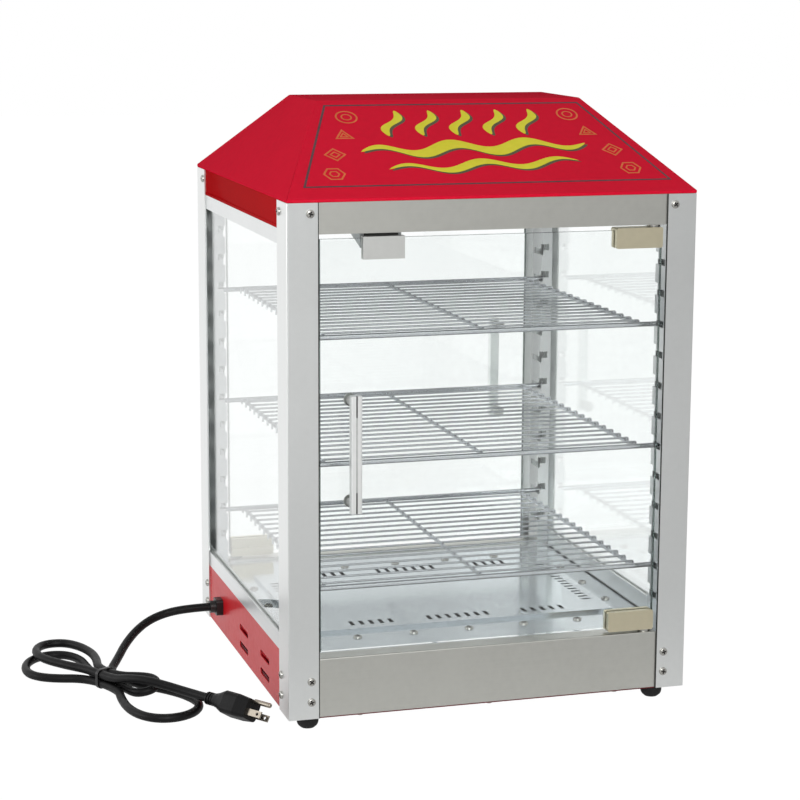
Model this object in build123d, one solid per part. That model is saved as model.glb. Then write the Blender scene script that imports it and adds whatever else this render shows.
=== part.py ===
from build123d import *
from math import atan2, ceil, cos, degrees, pi, radians, sin, tan
import os

# Pass-through warmer merchandiser. Millimetres, +Z up, origin on the floor under the
# middle of the cabinet, customer side towards -Y, operator side towards +Y.

# Cabinet
cabinet_width = 400.0
cabinet_depth = 400.0
post_height = 486.0
foot_height = 15.0
foot_radius = 10.5
base_height = 57.5
header_height = 29.0
sheet = 1.2
fit = 0.3

# Corner posts
post_sheet = 1.5
post_front_leg = 30.0
post_side_leg = 38.0
post_bend = 1.4
post_screw_edge = 8.0
post_screw_low = 16.5
post_screw_mid = 36.5
post_screw_top = 10.0

# Pan-head screws
screw_head_radius = 3.4
screw_head_height = 2.0
screw_shank_radius = 1.7
screw_length = 6.0
screw_hole_clearance = 0.15

# Roof
roof_hem = 3.0
roof_rise = 80.0
roof_side_run = 65.0
roof_front_run = 146.0
roof_ledge = 16.0
skirt_drop = 26.5
skirt_hem = 3.0

# Base and header sheet
fascia_flange = 20.0
return_flange = 11.0
side_flange = 10.0
fascia_bend = 1.1
vent_length = 38.0
vent_width = 6.4
vent_near_y = -95.0
vent_far_y = -2.0
vent_low = 13.0
vent_high = 31.0
pan_rim = 11.0

# Side glass and its channels
side_glass_thickness = 4.0
gasket_wall = 1.5
gasket_web = 1.0
channel_wall = 1.5
channel_lower_height = 16.0
channel_upper_height = 14.5

# Notched uprights
upright_inset_x = 24.0
upright_inset_y = 41.0
upright_leg = 29.0
upright_sheet = 1.5
notch_count = 12
notch_pitch = 30.0
notch_first = 87.6
slot_length = 24.0
slot_height = 6.5
mouth_height = 7.0
mouth_lift = 5.0
mouth_depth_x = 8.3
mouth_depth_y = 6.0
seat_clearance = 0.2

# Wire shelves
rod_radius = 2.5
rod_setback = 9.0
rod_overhang = 7.5
frame_rod_radius = 1.9
shelf_side_inset = 44.0
wire_radius = 1.1
wire_pitch = 20.0
wire_drop = 6.0
weld_depth = 0.15
shelf_notches = (1, 5, 9)

# Floor and deck plate
floor_height = 55.0
floor_flange = 10.0
deck_half_x = 159.0
deck_half_y = 110.0
deck_rise = 3.0
deck_sheet = 1.0
deck_slot_width = 4.0
deck_slot_length = 14.0
deck_slot_pitch = 10.0
deck_slot_row_y = 92.0
deck_side_row_x = 146.0
deck_side_slot = 10.0
deck_side_slots = 19
window_width = 16.0
floor_screw_y = 129.0
floor_screw_x = 169.0
floor_screw_pitch_x = 57.0
floor_screw_pitch_y = 66.0

# Heater
heater_box_x = 156.0
heater_box_y = 115.0
heater_box_depth = 30.0
heater_box_rim = 19.0
element_radius = 4.0
element_height = 16.0
element_half_x = 125.0
element_pitch = 50.0
element_legs = 4
element_end = 168.0
support_x = 70.0
support_sheet = 1.5
support_above = 2.0

# Glass doors
door_glass_thickness = 5.0
door_inset = 9.5
door_side_gap = 2.0
block_length = 47.0
block_height = 19.5
block_depth = 15.0
block_edge_gap = 3.0
block_gap = 2.5
block_web = 2.7
block_corner = 2.0
pivot_from_edge = 10.0
pin_radius = 3.0
pin_length = 12.0
pin_clearance = 0.05
bushing_radius = 4.5
bushing_length = 13.0
collar_radius = 6.5
clamp_clearance = 0.2

# Door handles
handle_from_edge = 32.0
handle_centre = 254.0
handle_length = 110.5
handle_width = 10.5
handle_depth = 8.0
handle_gap = 13.0
handle_bolts = 96.0
handle_groove = 1.4
handle_groove_depth = 2.5
standoff_radius = 4.5
handle_screw_radius = 2.0
handle_washer_radius = 6.0
handle_washer = 1.2
handle_head_radius = 3.8
handle_head = 2.5

# Magnetic catches
strike_from_edge = 43.0
strike_width = 40.0
strike_height = 21.0
strike_sheet = 1.2
catch_depth = 45.0
catch_drop = 15.0
catch_sheet = 1.2
magnet_thickness = 4.0
magnet_height = 9.0

# Operator controls on the rear base fascia
control_height = 29.0
knob_x = 70.0
knob_radius = 16.0
knob_height = 13.0
knob_gap = 0.8
knob_flutes = 12
shaft_radius = 3.0
shaft_reach = 14.0
thermostat_width = 36.0
thermostat_height = 31.0
thermostat_depth = 30.0
switch_x = 125.0
switch_width = 19.0
switch_height = 26.0
switch_depth = 20.0
bezel = 1.5
rocker_width = 14.0
rocker_half = 10.0
rocker_tilt = 8.0
rocker_pocket = 8.0
terminal_inset_x = 80.0
terminal_inset_y = 40.0
terminal_length = 48.0
terminal_poles = 4

# Supply cord
cord_diameter = 8.7
relief_y = 105.0
relief_height = 28.0
relief_collar = 17.0
relief_collar_depth = 7.0
relief_nose_radius = 6.5
relief_nose = 6.0
relief_barrel_radius = 7.6
relief_barrel = 12.0
tie_x = -341.9
tie_y = -5.0
hank_turn = -63.26
tie_width = 4.0
tie_sheet = 0.8
strand_step = 9.5

# End loops of the hank: side, reach, half width, centre and way round
hank_lobes = (
    (1, 139.0, 38.5, -1.0, 1),
    (-1, 112.0, 34.0, -8.5, -1),
    (1, 60.0, 12.0, 12.5, -1),
    (-1, 112.0, 24.5, 5.5, 1),
)
layer_step = 9.15
plug_length = 57.0
plug_width = 26.5
plug_thickness = 22.0
plug_neck_radius = 6.3
plug_roll = 32.0
blade_length = 17.5
blade_width = 6.35
blade_thickness = 1.5
blade_spacing = 12.7
ground_offset = 11.9
ground_radius = 2.4
ground_length = 20.0

# Levels and planes that the pieces share
half_x = cabinet_width / 2
half_y = cabinet_depth / 2
base_z = foot_height
base_top = base_z + base_height
eave_z = base_z + post_height
header_z = eave_z - header_height
floor_z = base_z + floor_height
skirt_z = eave_z - skirt_drop
panel_x = half_x - post_sheet
panel_y = half_y - post_sheet
opening_x = half_x - post_front_leg
ceiling_z = header_z + sheet
cord_radius = cord_diameter / 2
door_y = half_y - door_inset
pivot_x = opening_x - pivot_from_edge
rod_y = half_y - upright_inset_y + rod_setback
glass_x = panel_x - channel_wall - gasket_wall - side_glass_thickness / 2
channel_width = side_glass_thickness + 2 * (gasket_wall + channel_wall)


def slab(x, y, z):
    """A box between two values on each axis."""
    size = (abs(x[1] - x[0]), abs(y[1] - y[0]), abs(z[1] - z[0]))
    middle = ((x[0] + x[1]) / 2, (y[0] + y[1]) / 2, (z[0] + z[1]) / 2)
    return Pos(*middle) * Box(*size)


def rod(start, end, radius):
    """A round bar between two points."""
    a = Vector(*start)
    b = Vector(*end)
    place = Location(Plane(origin=a, z_dir=b - a))
    return place * Cylinder(radius, (b - a).length, align=(Align.CENTER, Align.CENTER, Align.MIN))


def half_turned(shape):
    """The same piece on the operator side."""
    return Rot(0, 0, 180) * shape


def mirrored(shape):
    """The same piece on the other side of the cabinet."""
    return mirror(shape, about=Plane.YZ)


def save(name, *solids):
    """Write one node from its separate solids."""
    pieces = []
    for item in solids:
        pieces.extend(item.solids())
    export_step(Compound(children=pieces) if len(pieces) > 1 else pieces[0], "parts/" + name + ".step")


# Fasteners
def pan_screw(position, outward):
    """A pan-head screw: the head sits on the surface and the shank goes in."""
    profile = Polyline(
        (0, -screw_length),
        (screw_shank_radius, -screw_length),
        (screw_shank_radius, 0),
        (screw_head_radius, 0),
        (screw_head_radius, screw_head_height * 0.45),
        (screw_head_radius * 0.7, screw_head_height),
        (0, screw_head_height),
        (0, -screw_length),
    )
    turned = revolve(Plane.XZ * make_face(profile), Axis.Z)
    return Location(Plane(origin=position, z_dir=outward)) * turned


def screw_hole(position, outward, depth):
    """The clearance hole of a pan-head screw, both ways from its surface."""
    direction = Vector(*outward).normalized()
    start = Vector(*position) + direction
    end = Vector(*position) - direction * depth
    return rod(start, end, screw_shank_radius + screw_hole_clearance)


def post_screw_places():
    """Position and outward direction of every screw through a corner post."""
    heights = (base_z + post_screw_low, base_z + post_screw_mid, eave_z - post_screw_top)
    x = half_x - post_front_leg + post_screw_edge
    y = half_y - post_side_leg + post_screw_edge
    places = []
    for z in heights:
        for sx in (-1, 1):
            for sy in (-1, 1):
                places.append(((sx * x, sy * half_y, z), (0, sy, 0)))
                places.append(((sx * half_x, sy * y, z), (sx, 0, 0)))
    return places


def drilled(shape, places, depth=screw_length):
    """The shape with a clearance hole at each screw that reaches it."""
    box = shape.bounding_box()
    for position, outward in places:
        inside = [
            low - depth <= value <= high + depth
            for value, low, high in zip(position, box.min, box.max)
        ]
        if all(inside):
            shape = shape - screw_hole(position, outward, depth)
    return shape


def edge_screw_places():
    """Screws up through the return flanges into the bottom pan."""
    y = panel_y - return_flange / 2
    third = (half_x - post_front_leg) * 0.76
    return [((x, sy * y, base_z), (0, 0, -1)) for sy in (-1, 1) for x in (-third, 0, third)]


def floor_screw_places():
    """Screws through the floor into the rim of the heater box."""
    rows = [(i * floor_screw_pitch_x, sy * floor_screw_y) for sy in (-1, 1) for i in range(-2, 3)]
    sides = [(sx * floor_screw_x, i * floor_screw_pitch_y) for sx in (-1, 1) for i in (-1, 0, 1)]
    return [((x, y, floor_z), (0, 0, 1)) for x, y in rows + sides]


# Frame and base
def corner_post():
    """Front left post: a folded angle with a small outside bend."""
    corner = (-half_x, -half_y)
    outline = Polyline(
        corner,
        (-half_x + post_front_leg, -half_y),
        (-half_x + post_front_leg, -half_y + post_sheet),
        (-half_x + post_sheet, -half_y + post_sheet),
        (-half_x + post_sheet, -half_y + post_side_leg),
        (-half_x, -half_y + post_side_leg),
        corner,
    )
    section = make_face(outline)
    nearest = section.vertices().sort_by_distance((corner[0], corner[1], 0))[0]
    section = fillet(nearest, post_bend)
    post = extrude(Pos(0, 0, base_z) * section, post_height)
    return drilled(post, post_screw_places())


def upright():
    """Front right notched upright: the rod goes in over the seat and drops into the slot."""
    x = half_x - upright_inset_x
    y = -half_y + upright_inset_y
    outer = panel_x - channel_width - fit
    leg_y = slab((x, x + upright_sheet), (y - upright_leg, y), (floor_z, ceiling_z))
    leg_x = slab((x, outer), (y - upright_sheet, y), (floor_z, ceiling_z))
    bracket = leg_y + leg_x
    for i in range(notch_count):
        seat = base_z + notch_first + i * notch_pitch - rod_radius - seat_clearance
        slot = slab((x - 1, x + upright_sheet + 0.5), (y - slot_length, y + 1), (seat, seat + slot_height))
        mouth_top = seat + mouth_lift + mouth_height
        bite = slab((x - 1, x + upright_sheet + 0.5), (y - mouth_depth_y, y + 1), (seat, mouth_top))
        mouth = slab((x - 1, x + mouth_depth_x), (y - mouth_depth_y, y + 1), (seat + mouth_lift, mouth_top))
        bracket = bracket - (slot + bite + mouth)
    return bracket


def base_fascia(rear=False):
    """Front base fascia with its door ledge, bottom return and hinge hole."""
    y = -panel_y
    face = slab((-panel_x + fit, panel_x - fit), (y, y + sheet), (base_z, base_top))
    ledge = slab((-opening_x + fit, opening_x - fit), (y, y + fascia_flange), (base_top - sheet, base_top))
    lip = slab(
        (-opening_x + fit, opening_x - fit),
        (y + fascia_flange - sheet, y + fascia_flange),
        (floor_z, base_top),
    )
    foot_return = slab((-panel_x + 15, panel_x - 15), (y, y + return_flange), (base_z, base_z + sheet))
    fascia = face + ledge + lip + foot_return
    top_front = fascia.edges().filter_by(Axis.X).filter_by(
        lambda e: abs(e.center().Y - y) < 0.01 and abs(e.center().Z - base_top) < 0.01
    )
    fascia = fillet(top_front.sort_by(SortBy.LENGTH)[-1:], fascia_bend)
    fascia = drilled(fascia, post_screw_places() + edge_screw_places())
    hole = rod((pivot_x, -door_y, base_top - 3), (pivot_x, -door_y, base_top + 1), bushing_radius + 0.05)
    fascia = fascia - hole
    if rear:
        z = base_z + control_height
        spindle = rod((-knob_x, y - 1, z), (-knob_x, y + sheet + 1, z), shaft_radius + 1)
        opening = slab(
            (-switch_x - switch_width / 2 - 0.2, -switch_x + switch_width / 2 + 0.2),
            (y - 1, y + sheet + 1),
            (z - switch_height / 2 - 0.2, z + switch_height / 2 + 0.2),
        )
        fascia = half_turned(fascia - spindle - opening)
    return fascia


def header():
    """Front header fascia with its door flange and top flange."""
    y = -panel_y
    face = slab((-panel_x + fit, panel_x - fit), (y, y + sheet), (header_z, eave_z))
    flange = slab((-opening_x + fit, opening_x - fit), (y, y + fascia_flange), (header_z, header_z + sheet))
    top = slab((-opening_x + fit, opening_x - fit), (y, y + return_flange), (eave_z - sheet, eave_z))
    hole = rod((pivot_x, -door_y, header_z - 1), (pivot_x, -door_y, header_z + 3), bushing_radius + 0.05)
    return drilled(face + flange + top - hole, post_screw_places())


def base_side_panel(with_cord=False):
    """Left base side panel with its vents, glass ledge and bottom return."""
    x = -panel_x
    reach = panel_y - sheet - fit
    face = slab((x, x + sheet), (-reach, reach), (base_z, base_top))
    ledge = slab((x, x + side_flange), (-reach, reach), (base_top - sheet, base_top))
    inner = panel_y - return_flange - 1
    foot_return = slab((x, x + return_flange), (-inner, inner), (base_z, base_z + sheet))
    panel = face + ledge + foot_return
    for y in (vent_near_y, vent_far_y):
        for z in (vent_low, vent_high):
            shape = Plane.YZ * Pos(y, base_z + z) * SlotOverall(vent_length, vent_width)
            panel = panel - extrude(Pos(x - 1, 0, 0) * shape, sheet + 2)
    if with_cord:
        z = base_z + relief_height
        panel = panel - rod((x - 1, relief_y, z), (x + 3, relief_y, z), relief_barrel_radius + 0.05)
    return drilled(panel, post_screw_places())


def bottom_pan():
    """Bottom tray that stands on the return flanges and carries the feet."""
    x = panel_x - sheet - fit
    y = panel_y - sheet - fit
    low = base_z + sheet
    tray = slab((-x, x), (-y, y), (low, low + pan_rim))
    hollow = slab((-x + sheet, x - sheet), (-y + sheet, y - sheet), (low + sheet, low + pan_rim + 1))
    return drilled(tray - hollow, edge_screw_places())


def rubber_foot():
    """Domed foot, seated on the bottom pan inside both return flanges."""
    top = base_z + sheet
    profile = Polyline((0, 0), (foot_radius * 0.62, 0), (foot_radius * 0.86, 2.2))
    side = Polyline((foot_radius, 6.5), (foot_radius, top), (0, top), (0, 0))
    dome = ThreePointArc(
        (foot_radius * 0.86, 2.2), (foot_radius * 0.96, 4.2), (foot_radius, 6.5)
    )
    turned = revolve(Plane.XZ * make_face(profile + dome + side), Axis.Z)
    x = panel_x - return_flange - 1 - foot_radius
    y = panel_y - return_flange - 1 - foot_radius
    return [Pos(sx * x, sy * y, 0) * turned for sx in (-1, 1) for sy in (-1, 1)]


# Roof
def roof_shell():
    """Hipped sheet roof with its eave ledge and a folded skirt on each side."""
    hem = slab((-half_x, half_x), (-half_y, half_y), (eave_z, eave_z + roof_hem))
    low = Pos(0, 0, eave_z + roof_hem) * Rectangle(cabinet_width, cabinet_depth)
    high = Pos(0, 0, eave_z + roof_hem + roof_rise) * Rectangle(
        cabinet_width - 2 * roof_side_run, cabinet_depth - 2 * roof_front_run
    )
    hipped = hem + loft([low.face(), high.face()], ruled=True)
    underside = hipped.faces().sort_by(Axis.Z)[0]
    shell = offset(hipped, amount=-sheet, openings=underside)
    ledge = slab((-half_x + 0.5, half_x - 0.5), (-half_y + 0.5, half_y - 0.5), (eave_z, eave_z + sheet))
    middle = slab(
        (-half_x + roof_ledge, half_x - roof_ledge),
        (-half_y + roof_ledge, half_y - roof_ledge),
        (eave_z - 1, eave_z + sheet + 1),
    )
    roof = shell + (ledge - middle)
    reach = panel_y - sheet - fit
    x = -panel_x
    face = slab((x, x + sheet), (-reach, reach), (skirt_z, eave_z + sheet / 2))
    hem_return = slab((x, x + side_flange), (-reach, reach), (skirt_z, skirt_z + sheet))
    bead_y = half_y - post_side_leg - fit
    bead = slab((x - 0.5, x), (-bead_y, bead_y), (skirt_z, skirt_z + skirt_hem))
    skirt = drilled(face + hem_return + bead, post_screw_places())
    return roof + skirt + mirrored(skirt)


def ceiling_panel():
    """Lining sheet that lies on both header flanges."""
    y = door_y - bushing_radius - 1.5
    x = panel_x - channel_width - 0.5
    return slab((-x, x), (-y, y), (ceiling_z, ceiling_z + sheet))


# Side glass
def glass_channel(low, height, opens_up):
    """One aluminium glazing channel on the left side."""
    x = -panel_x
    reach = panel_y - sheet - 0.5
    body = slab((x, x + channel_width), (-reach, reach), (low, low + height))
    wall = channel_wall
    hollow_z = (low + wall, low + height + 1) if opens_up else (low - 1, low + height - wall)
    return body - slab((x + wall, x + channel_width - wall), (-reach - 1, reach + 1), hollow_z)


def glass_gasket(low, height, opens_up):
    """Rubber liner of one glazing channel."""
    x = -panel_x + channel_wall
    reach = panel_y - sheet - 0.5
    width = channel_width - 2 * channel_wall
    body = slab((x, x + width), (-reach, reach), (low, low + height))
    hollow_z = (low + gasket_web, low + height + 1) if opens_up else (low - 1, low + height - gasket_web)
    return body - slab((x + gasket_wall, x + width - gasket_wall), (-reach - 1, reach + 1), hollow_z)


def side_glass():
    """Left side pane, seated in both liners."""
    low = base_top + channel_wall + gasket_web
    high = skirt_z - channel_wall - gasket_web
    half = side_glass_thickness / 2
    reach = panel_y - sheet - 2
    return slab((-glass_x - half, -glass_x + half), (-reach, reach), (low, high))


# Floor and heater
def floor_pan():
    """Cabinet floor with a folded edge and four air windows under the deck plate."""
    x = panel_x - sheet
    y = panel_y - sheet
    plate = slab((-x, x), (-y, y), (floor_z - floor_flange, floor_z))
    under = (floor_z - floor_flange - 1, floor_z - sheet)
    hollow = slab((-x + sheet, x - sheet), (-y + sheet, y - sheet), under)
    floor = plate - hollow
    half = window_width / 2
    cut = (floor_z - sheet - 1, floor_z + 1)
    reach_x = deck_side_row_x - window_width
    reach_y = deck_slot_row_y - window_width
    for side in (-1, 1):
        row = side * deck_slot_row_y
        floor = floor - slab((-reach_x, reach_x), (row - half, row + half), cut)
        column = side * deck_side_row_x
        floor = floor - slab((column - half, column + half), (-reach_y, reach_y), cut)
        hinge_x = side * pivot_x
        hinge_y = -side * door_y
        hinge = rod((hinge_x, hinge_y, cut[0]), (hinge_x, hinge_y, cut[1]), bushing_radius + 1)
        floor = floor - hinge
    return drilled(floor, floor_screw_places())


def deck_slots():
    """Centres and lengths of the slots: grouped rows front and back, a row down each side."""
    places = []
    for group, count in ((-90, 5), (0, 7), (90, 5)):
        for i in range(count):
            x = group + (i - (count - 1) / 2) * deck_slot_pitch
            for side in (-1, 1):
                places.append((x, side * deck_slot_row_y, deck_slot_length, 90))
    for i in range(deck_side_slots):
        y = (i - (deck_side_slots - 1) / 2) * deck_slot_pitch
        if abs(y) < deck_slot_row_y - deck_slot_length:
            for side in (-1, 1):
                places.append((side * deck_side_row_x, y, deck_side_slot, 0))
    return places


def deck_plate():
    """Slotted tray plate that stands on its folded edge over the air windows."""
    top = floor_z + deck_rise
    plate = slab((-deck_half_x, deck_half_x), (-deck_half_y, deck_half_y), (floor_z, top))
    edge = deck_sheet
    hollow = slab(
        (-deck_half_x + edge, deck_half_x - edge),
        (-deck_half_y + edge, deck_half_y - edge),
        (floor_z - 1, top - deck_sheet),
    )
    plate = plate - hollow
    slots = Sketch()
    for x, y, length, angle in deck_slots():
        slots += Pos(x, y) * Rot(0, 0, angle) * Rectangle(length, deck_slot_width)
    return plate - extrude(Pos(0, 0, top - deck_sheet - 0.5) * slots, deck_sheet + 1)


def heater_box():
    """Reflector tray under the floor, hung from its rim, open to the air windows."""
    top = floor_z - sheet
    low = top - heater_box_depth
    x = heater_box_x
    y = heater_box_y
    tray = slab((-x, x), (-y, y), (low, top))
    rim_x = x + heater_box_rim
    rim_y = y + heater_box_rim
    rim = slab((-rim_x, rim_x), (-rim_y, rim_y), (top - sheet, top))
    hollow = slab((-x + sheet, x - sheet), (-y + sheet, y - sheet), (low + sheet, top + 1))
    box = (tray + rim) - hollow
    z = low + element_height
    for side in (-1, 1):
        end_y = side * element_pitch * (element_legs - 1) / 2
        box = box - rod((-x - 2, end_y, z), (-x + 3, end_y, z), element_radius + 0.3)
    return drilled(box, floor_screw_places())


def heating_element():
    """Sheathed tube folded into even legs, its cold ends out through the tray wall."""
    z = floor_z - sheet - heater_box_depth + element_height
    first = element_pitch * (element_legs - 1) / 2
    bend = element_pitch / 2
    path = Line((-element_end, first, z), (element_half_x, first, z))
    for i in range(element_legs - 1):
        y = first - i * element_pitch
        side = 1 if i % 2 == 0 else -1
        turn = ThreePointArc(
            (side * element_half_x, y, z),
            (side * (element_half_x + bend), y - bend, z),
            (side * element_half_x, y - element_pitch, z),
        )
        last = i == element_legs - 2
        end_x = -element_end if last else -side * element_half_x
        leg = Line((side * element_half_x, y - element_pitch, z), (end_x, y - element_pitch, z))
        path = path + turn + leg
    start = Plane(origin=(-element_end, first, z), z_dir=(1, 0, 0))
    return sweep(start * Circle(element_radius), path=path)


def element_supports():
    """Two strips across the tray with an open cradle for each leg."""
    low = floor_z - heater_box_depth
    z = floor_z - sheet - heater_box_depth + element_height
    reach = heater_box_y - sheet - 1
    strips = []
    for x in (-support_x, support_x):
        strip = slab((x, x + support_sheet), (-reach, reach), (low, z + support_above))
        for i in range(element_legs):
            y = (i - (element_legs - 1) / 2) * element_pitch
            cradle = rod((x - 1, y, z), (x + support_sheet + 1, y, z), element_radius + 0.1)
            mouth = slab(
                (x - 1, x + support_sheet + 1),
                (y - element_radius - 0.1, y + element_radius + 0.1),
                (z, z + support_above + 1),
            )
            strip = strip - cradle - mouth
        strips.append(strip)
    return strips


# Doors
def door_glass():
    """Front pane with its two handle holes."""
    x = opening_x - door_side_gap
    low = base_top + block_gap + block_web
    high = header_z - block_gap - block_web
    half = door_glass_thickness / 2
    pane = slab((-x, x), (-door_y - half, -door_y + half), (low, high))
    for z in handle_bolt_heights():
        x = handle_x()
        pane = pane - rod((x, -door_y - 5, z), (x, -door_y + 5, z), handle_screw_radius + 0.5)
    return pane


def hinge_block():
    """Lower patch hinge of the front door with its pivot pin and clamp screw sockets."""
    right = opening_x - block_edge_gap
    low = base_top + block_gap
    half = block_depth / 2
    block = slab((right - block_length, right), (-door_y - half, -door_y + half), (low, low + block_height))
    block = fillet(block.edges().filter_by(Axis.Y), block_corner)
    slot = door_glass_thickness / 2 + clamp_clearance
    grip = slab(
        (right - block_length - 1, right + 1),
        (-door_y - slot, -door_y + slot),
        (low + block_web, low + block_height + 1),
    )
    block = block - grip
    for i in (1, 2):
        x = right - block_length * i / 3
        z = low + block_height * 0.55
        block = block - rod((x, -door_y + half - 2, z), (x, -door_y + half + 1, z), 2.5)
    pin = rod((pivot_x, -door_y, low + block_web), (pivot_x, -door_y, low - pin_length), pin_radius)
    return block + pin


def hinge_bushing():
    """Plastic bushing of a lower hinge, its collar under the block."""
    low = base_top - bushing_length
    body = rod((pivot_x, -door_y, low), (pivot_x, -door_y, base_top), bushing_radius)
    collar_top = base_top + block_gap - fit
    collar = rod((pivot_x, -door_y, base_top), (pivot_x, -door_y, collar_top), collar_radius)
    bore = rod((pivot_x, -door_y, low - 1), (pivot_x, -door_y, collar_top + 1), pin_radius + pin_clearance)
    return body + collar - bore


def upper(shape):
    """The upper piece of a hinge: the lower one turned over about mid height of the opening."""
    return mirror(shape, about=Plane.XY.offset((base_top + header_z) / 2))


def handle_x():
    """Handle centre line, on the side away from the hinges."""
    return -opening_x + handle_from_edge


def handle_bolt_heights():
    """Heights of the two handle screws."""
    middle = base_z + handle_centre
    return (middle - handle_bolts / 2, middle + handle_bolts / 2)


def handle_bar():
    """Grooved pull bar with eased edges."""
    x = handle_x()
    back = -door_y - door_glass_thickness / 2 - handle_gap
    front = back - handle_depth
    middle = base_z + handle_centre
    span = (middle - handle_length / 2, middle + handle_length / 2)
    bar = slab((x - handle_width / 2, x + handle_width / 2), (front, back), span)
    bar = fillet(bar.edges().filter_by(Axis.Z), 1.2)
    half = handle_groove / 2
    depth = (front - 1, front + handle_groove_depth)
    groove = slab((x - half, x + half), depth, (span[0] - 1, span[1] + 1))
    bar = bar - groove
    for z in handle_bolt_heights():
        bar = bar - rod((x, back + 1, z), (x, back - 4, z), handle_screw_radius + 0.05)
    return bar


def handle_fixings():
    """Standoffs in front of the glass, with a washer and screw behind it at each end."""
    x = handle_x()
    back = -door_y - door_glass_thickness / 2 - handle_gap
    front_face = -door_y - door_glass_thickness / 2
    rear_face = -door_y + door_glass_thickness / 2
    solids = []
    for z in handle_bolt_heights():
        post = rod((x, back, z), (x, front_face, z), standoff_radius)
        bore = rod((x, back - 1, z), (x, front_face + 1, z), handle_screw_radius + 0.05)
        washer = rod((x, rear_face, z), (x, rear_face + handle_washer, z), handle_washer_radius)
        washer_bore = rod((x, rear_face - 1, z), (x, rear_face + 3, z), handle_screw_radius + 0.2)
        seat = rear_face + handle_washer
        head = rod((x, seat, z), (x, seat + handle_head, z), handle_head_radius)
        shank = rod((x, seat, z), (x, back - 3, z), handle_screw_radius)
        solids += [post - bore, washer - washer_bore, head + shank]
    return solids


def strike_plate():
    """Steel clip over the top edge of the pane, drawn to the magnet."""
    left = -opening_x + strike_from_edge
    top = header_z - block_gap - block_web + fit + strike_sheet
    half = door_glass_thickness / 2 + clamp_clearance
    outer = half + strike_sheet
    clip = slab((left, left + strike_width), (-door_y - outer, -door_y + outer), (top - strike_height, top))
    inside = slab(
        (left - 1, left + strike_width + 1),
        (-door_y - half, -door_y + half),
        (top - strike_height - 1, top - strike_sheet),
    )
    return clip - inside


def catch_bracket():
    """Bracket under the header that holds the magnet, with a gusset at each end."""
    left = -opening_x + strike_from_edge
    front = -door_y + door_glass_thickness / 2 + clamp_clearance + strike_sheet + fit + magnet_thickness
    back = front + catch_depth - magnet_thickness
    top = header_z
    width = (left, left + strike_width)
    plate = slab(width, (front - magnet_thickness, back), (top - catch_sheet, top))
    face = slab(width, (front, front + catch_sheet), (top - catch_drop, top))
    profile = Polyline(
        (front, top - catch_drop),
        (front, top),
        (back, top),
        (back, top - catch_sheet - 1),
        (front, top - catch_drop),
    )
    gusset = extrude(Plane.YZ * make_face(profile), catch_sheet)
    near = Pos(left, 0, 0) * gusset
    far = Pos(left + strike_width - catch_sheet, 0, 0) * gusset
    return plate + face + near + far


def catch_magnet():
    """Magnet block on the bracket, just clear of the strike plate."""
    left = -opening_x + strike_from_edge + 4
    face = -door_y + door_glass_thickness / 2 + clamp_clearance + strike_sheet + fit
    top = header_z - catch_sheet - 1
    return slab((left, left + strike_width - 8), (face, face + magnet_thickness), (top - magnet_height, top))


# Shelves
def bent_wire(y, z):
    """One shelf wire: straight across, both ends turned down over the side rods."""
    end = half_x - shelf_side_inset + frame_rod_radius + wire_radius + 0.2
    corners = ((-end, y, z - wire_drop), (-end, y, z), (end, y, z), (end, y, z - wire_drop))
    path = Polyline(*corners)
    section = Plane(origin=corners[0], z_dir=(0, 0, 1)) * RegularPolygon(wire_radius, 6, rotation=30)
    return sweep(section, path=path, transition=Transition.RIGHT)


def wire_shelf(notch):
    """Welded rack: two notch rods, two side rods, a middle rod and the wires."""
    z = base_z + notch_first + notch * notch_pitch
    end = half_x - upright_inset_x + rod_overhang
    side = half_x - shelf_side_inset
    rack = rod((-end, -rod_y, z), (end, -rod_y, z), rod_radius)
    rack = rack + rod((-end, rod_y, z), (end, rod_y, z), rod_radius)
    for x in (-side, 0, side):
        rack = rack + rod((x, -rod_y, z), (x, rod_y, z), frame_rod_radius)
    wire_z = z + frame_rod_radius + wire_radius * cos(radians(30)) - weld_depth
    wires = []
    rows = int((rod_y - rod_radius - wire_radius) // wire_pitch)
    for i in range(-rows, rows + 1):
        wires.append(bent_wire(i * wire_pitch, wire_z))
    return rack.fuse(*wires)


# Controls
def thermostat_body():
    """Thermostat behind the rear fascia, bored for the knob shaft."""
    back = panel_y - sheet
    z = base_z + control_height
    x = knob_x
    case = slab(
        (x - thermostat_width / 2, x + thermostat_width / 2),
        (back - thermostat_depth, back),
        (z - thermostat_height / 2, z + thermostat_height / 2),
    )
    case = fillet(case.edges().filter_by(Axis.Y), 3)
    bore = rod((x, back + 1, z), (x, back - shaft_reach - 1, z), shaft_radius + pin_clearance)
    return case - bore


def thermostat_knob():
    """Fluted knob on its shaft."""
    face = panel_y + knob_gap
    z = base_z + control_height
    x = knob_x
    skirt = rod((x, face, z), (x, face + 3, z), knob_radius)
    grip = rod((x, face + 3, z), (x, face + knob_height, z), knob_radius * 0.74)
    knob = skirt + grip
    for i in range(knob_flutes):
        angle = radians(i * 360 / knob_flutes)
        cx = x + cos(angle) * (knob_radius * 0.74 + 1.2)
        cz = z + sin(angle) * (knob_radius * 0.74 + 1.2)
        knob = knob - rod((cx, face + 3, cz), (cx, face + knob_height + 1, cz), 2.2)
    shaft = rod((x, face + 5, z), (x, panel_y - sheet - shaft_reach, z), shaft_radius)
    return knob + shaft


def switch_pivot():
    """Middle of the rocker's pivot."""
    return (switch_x, panel_y + 0.5, base_z + control_height)


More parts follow.
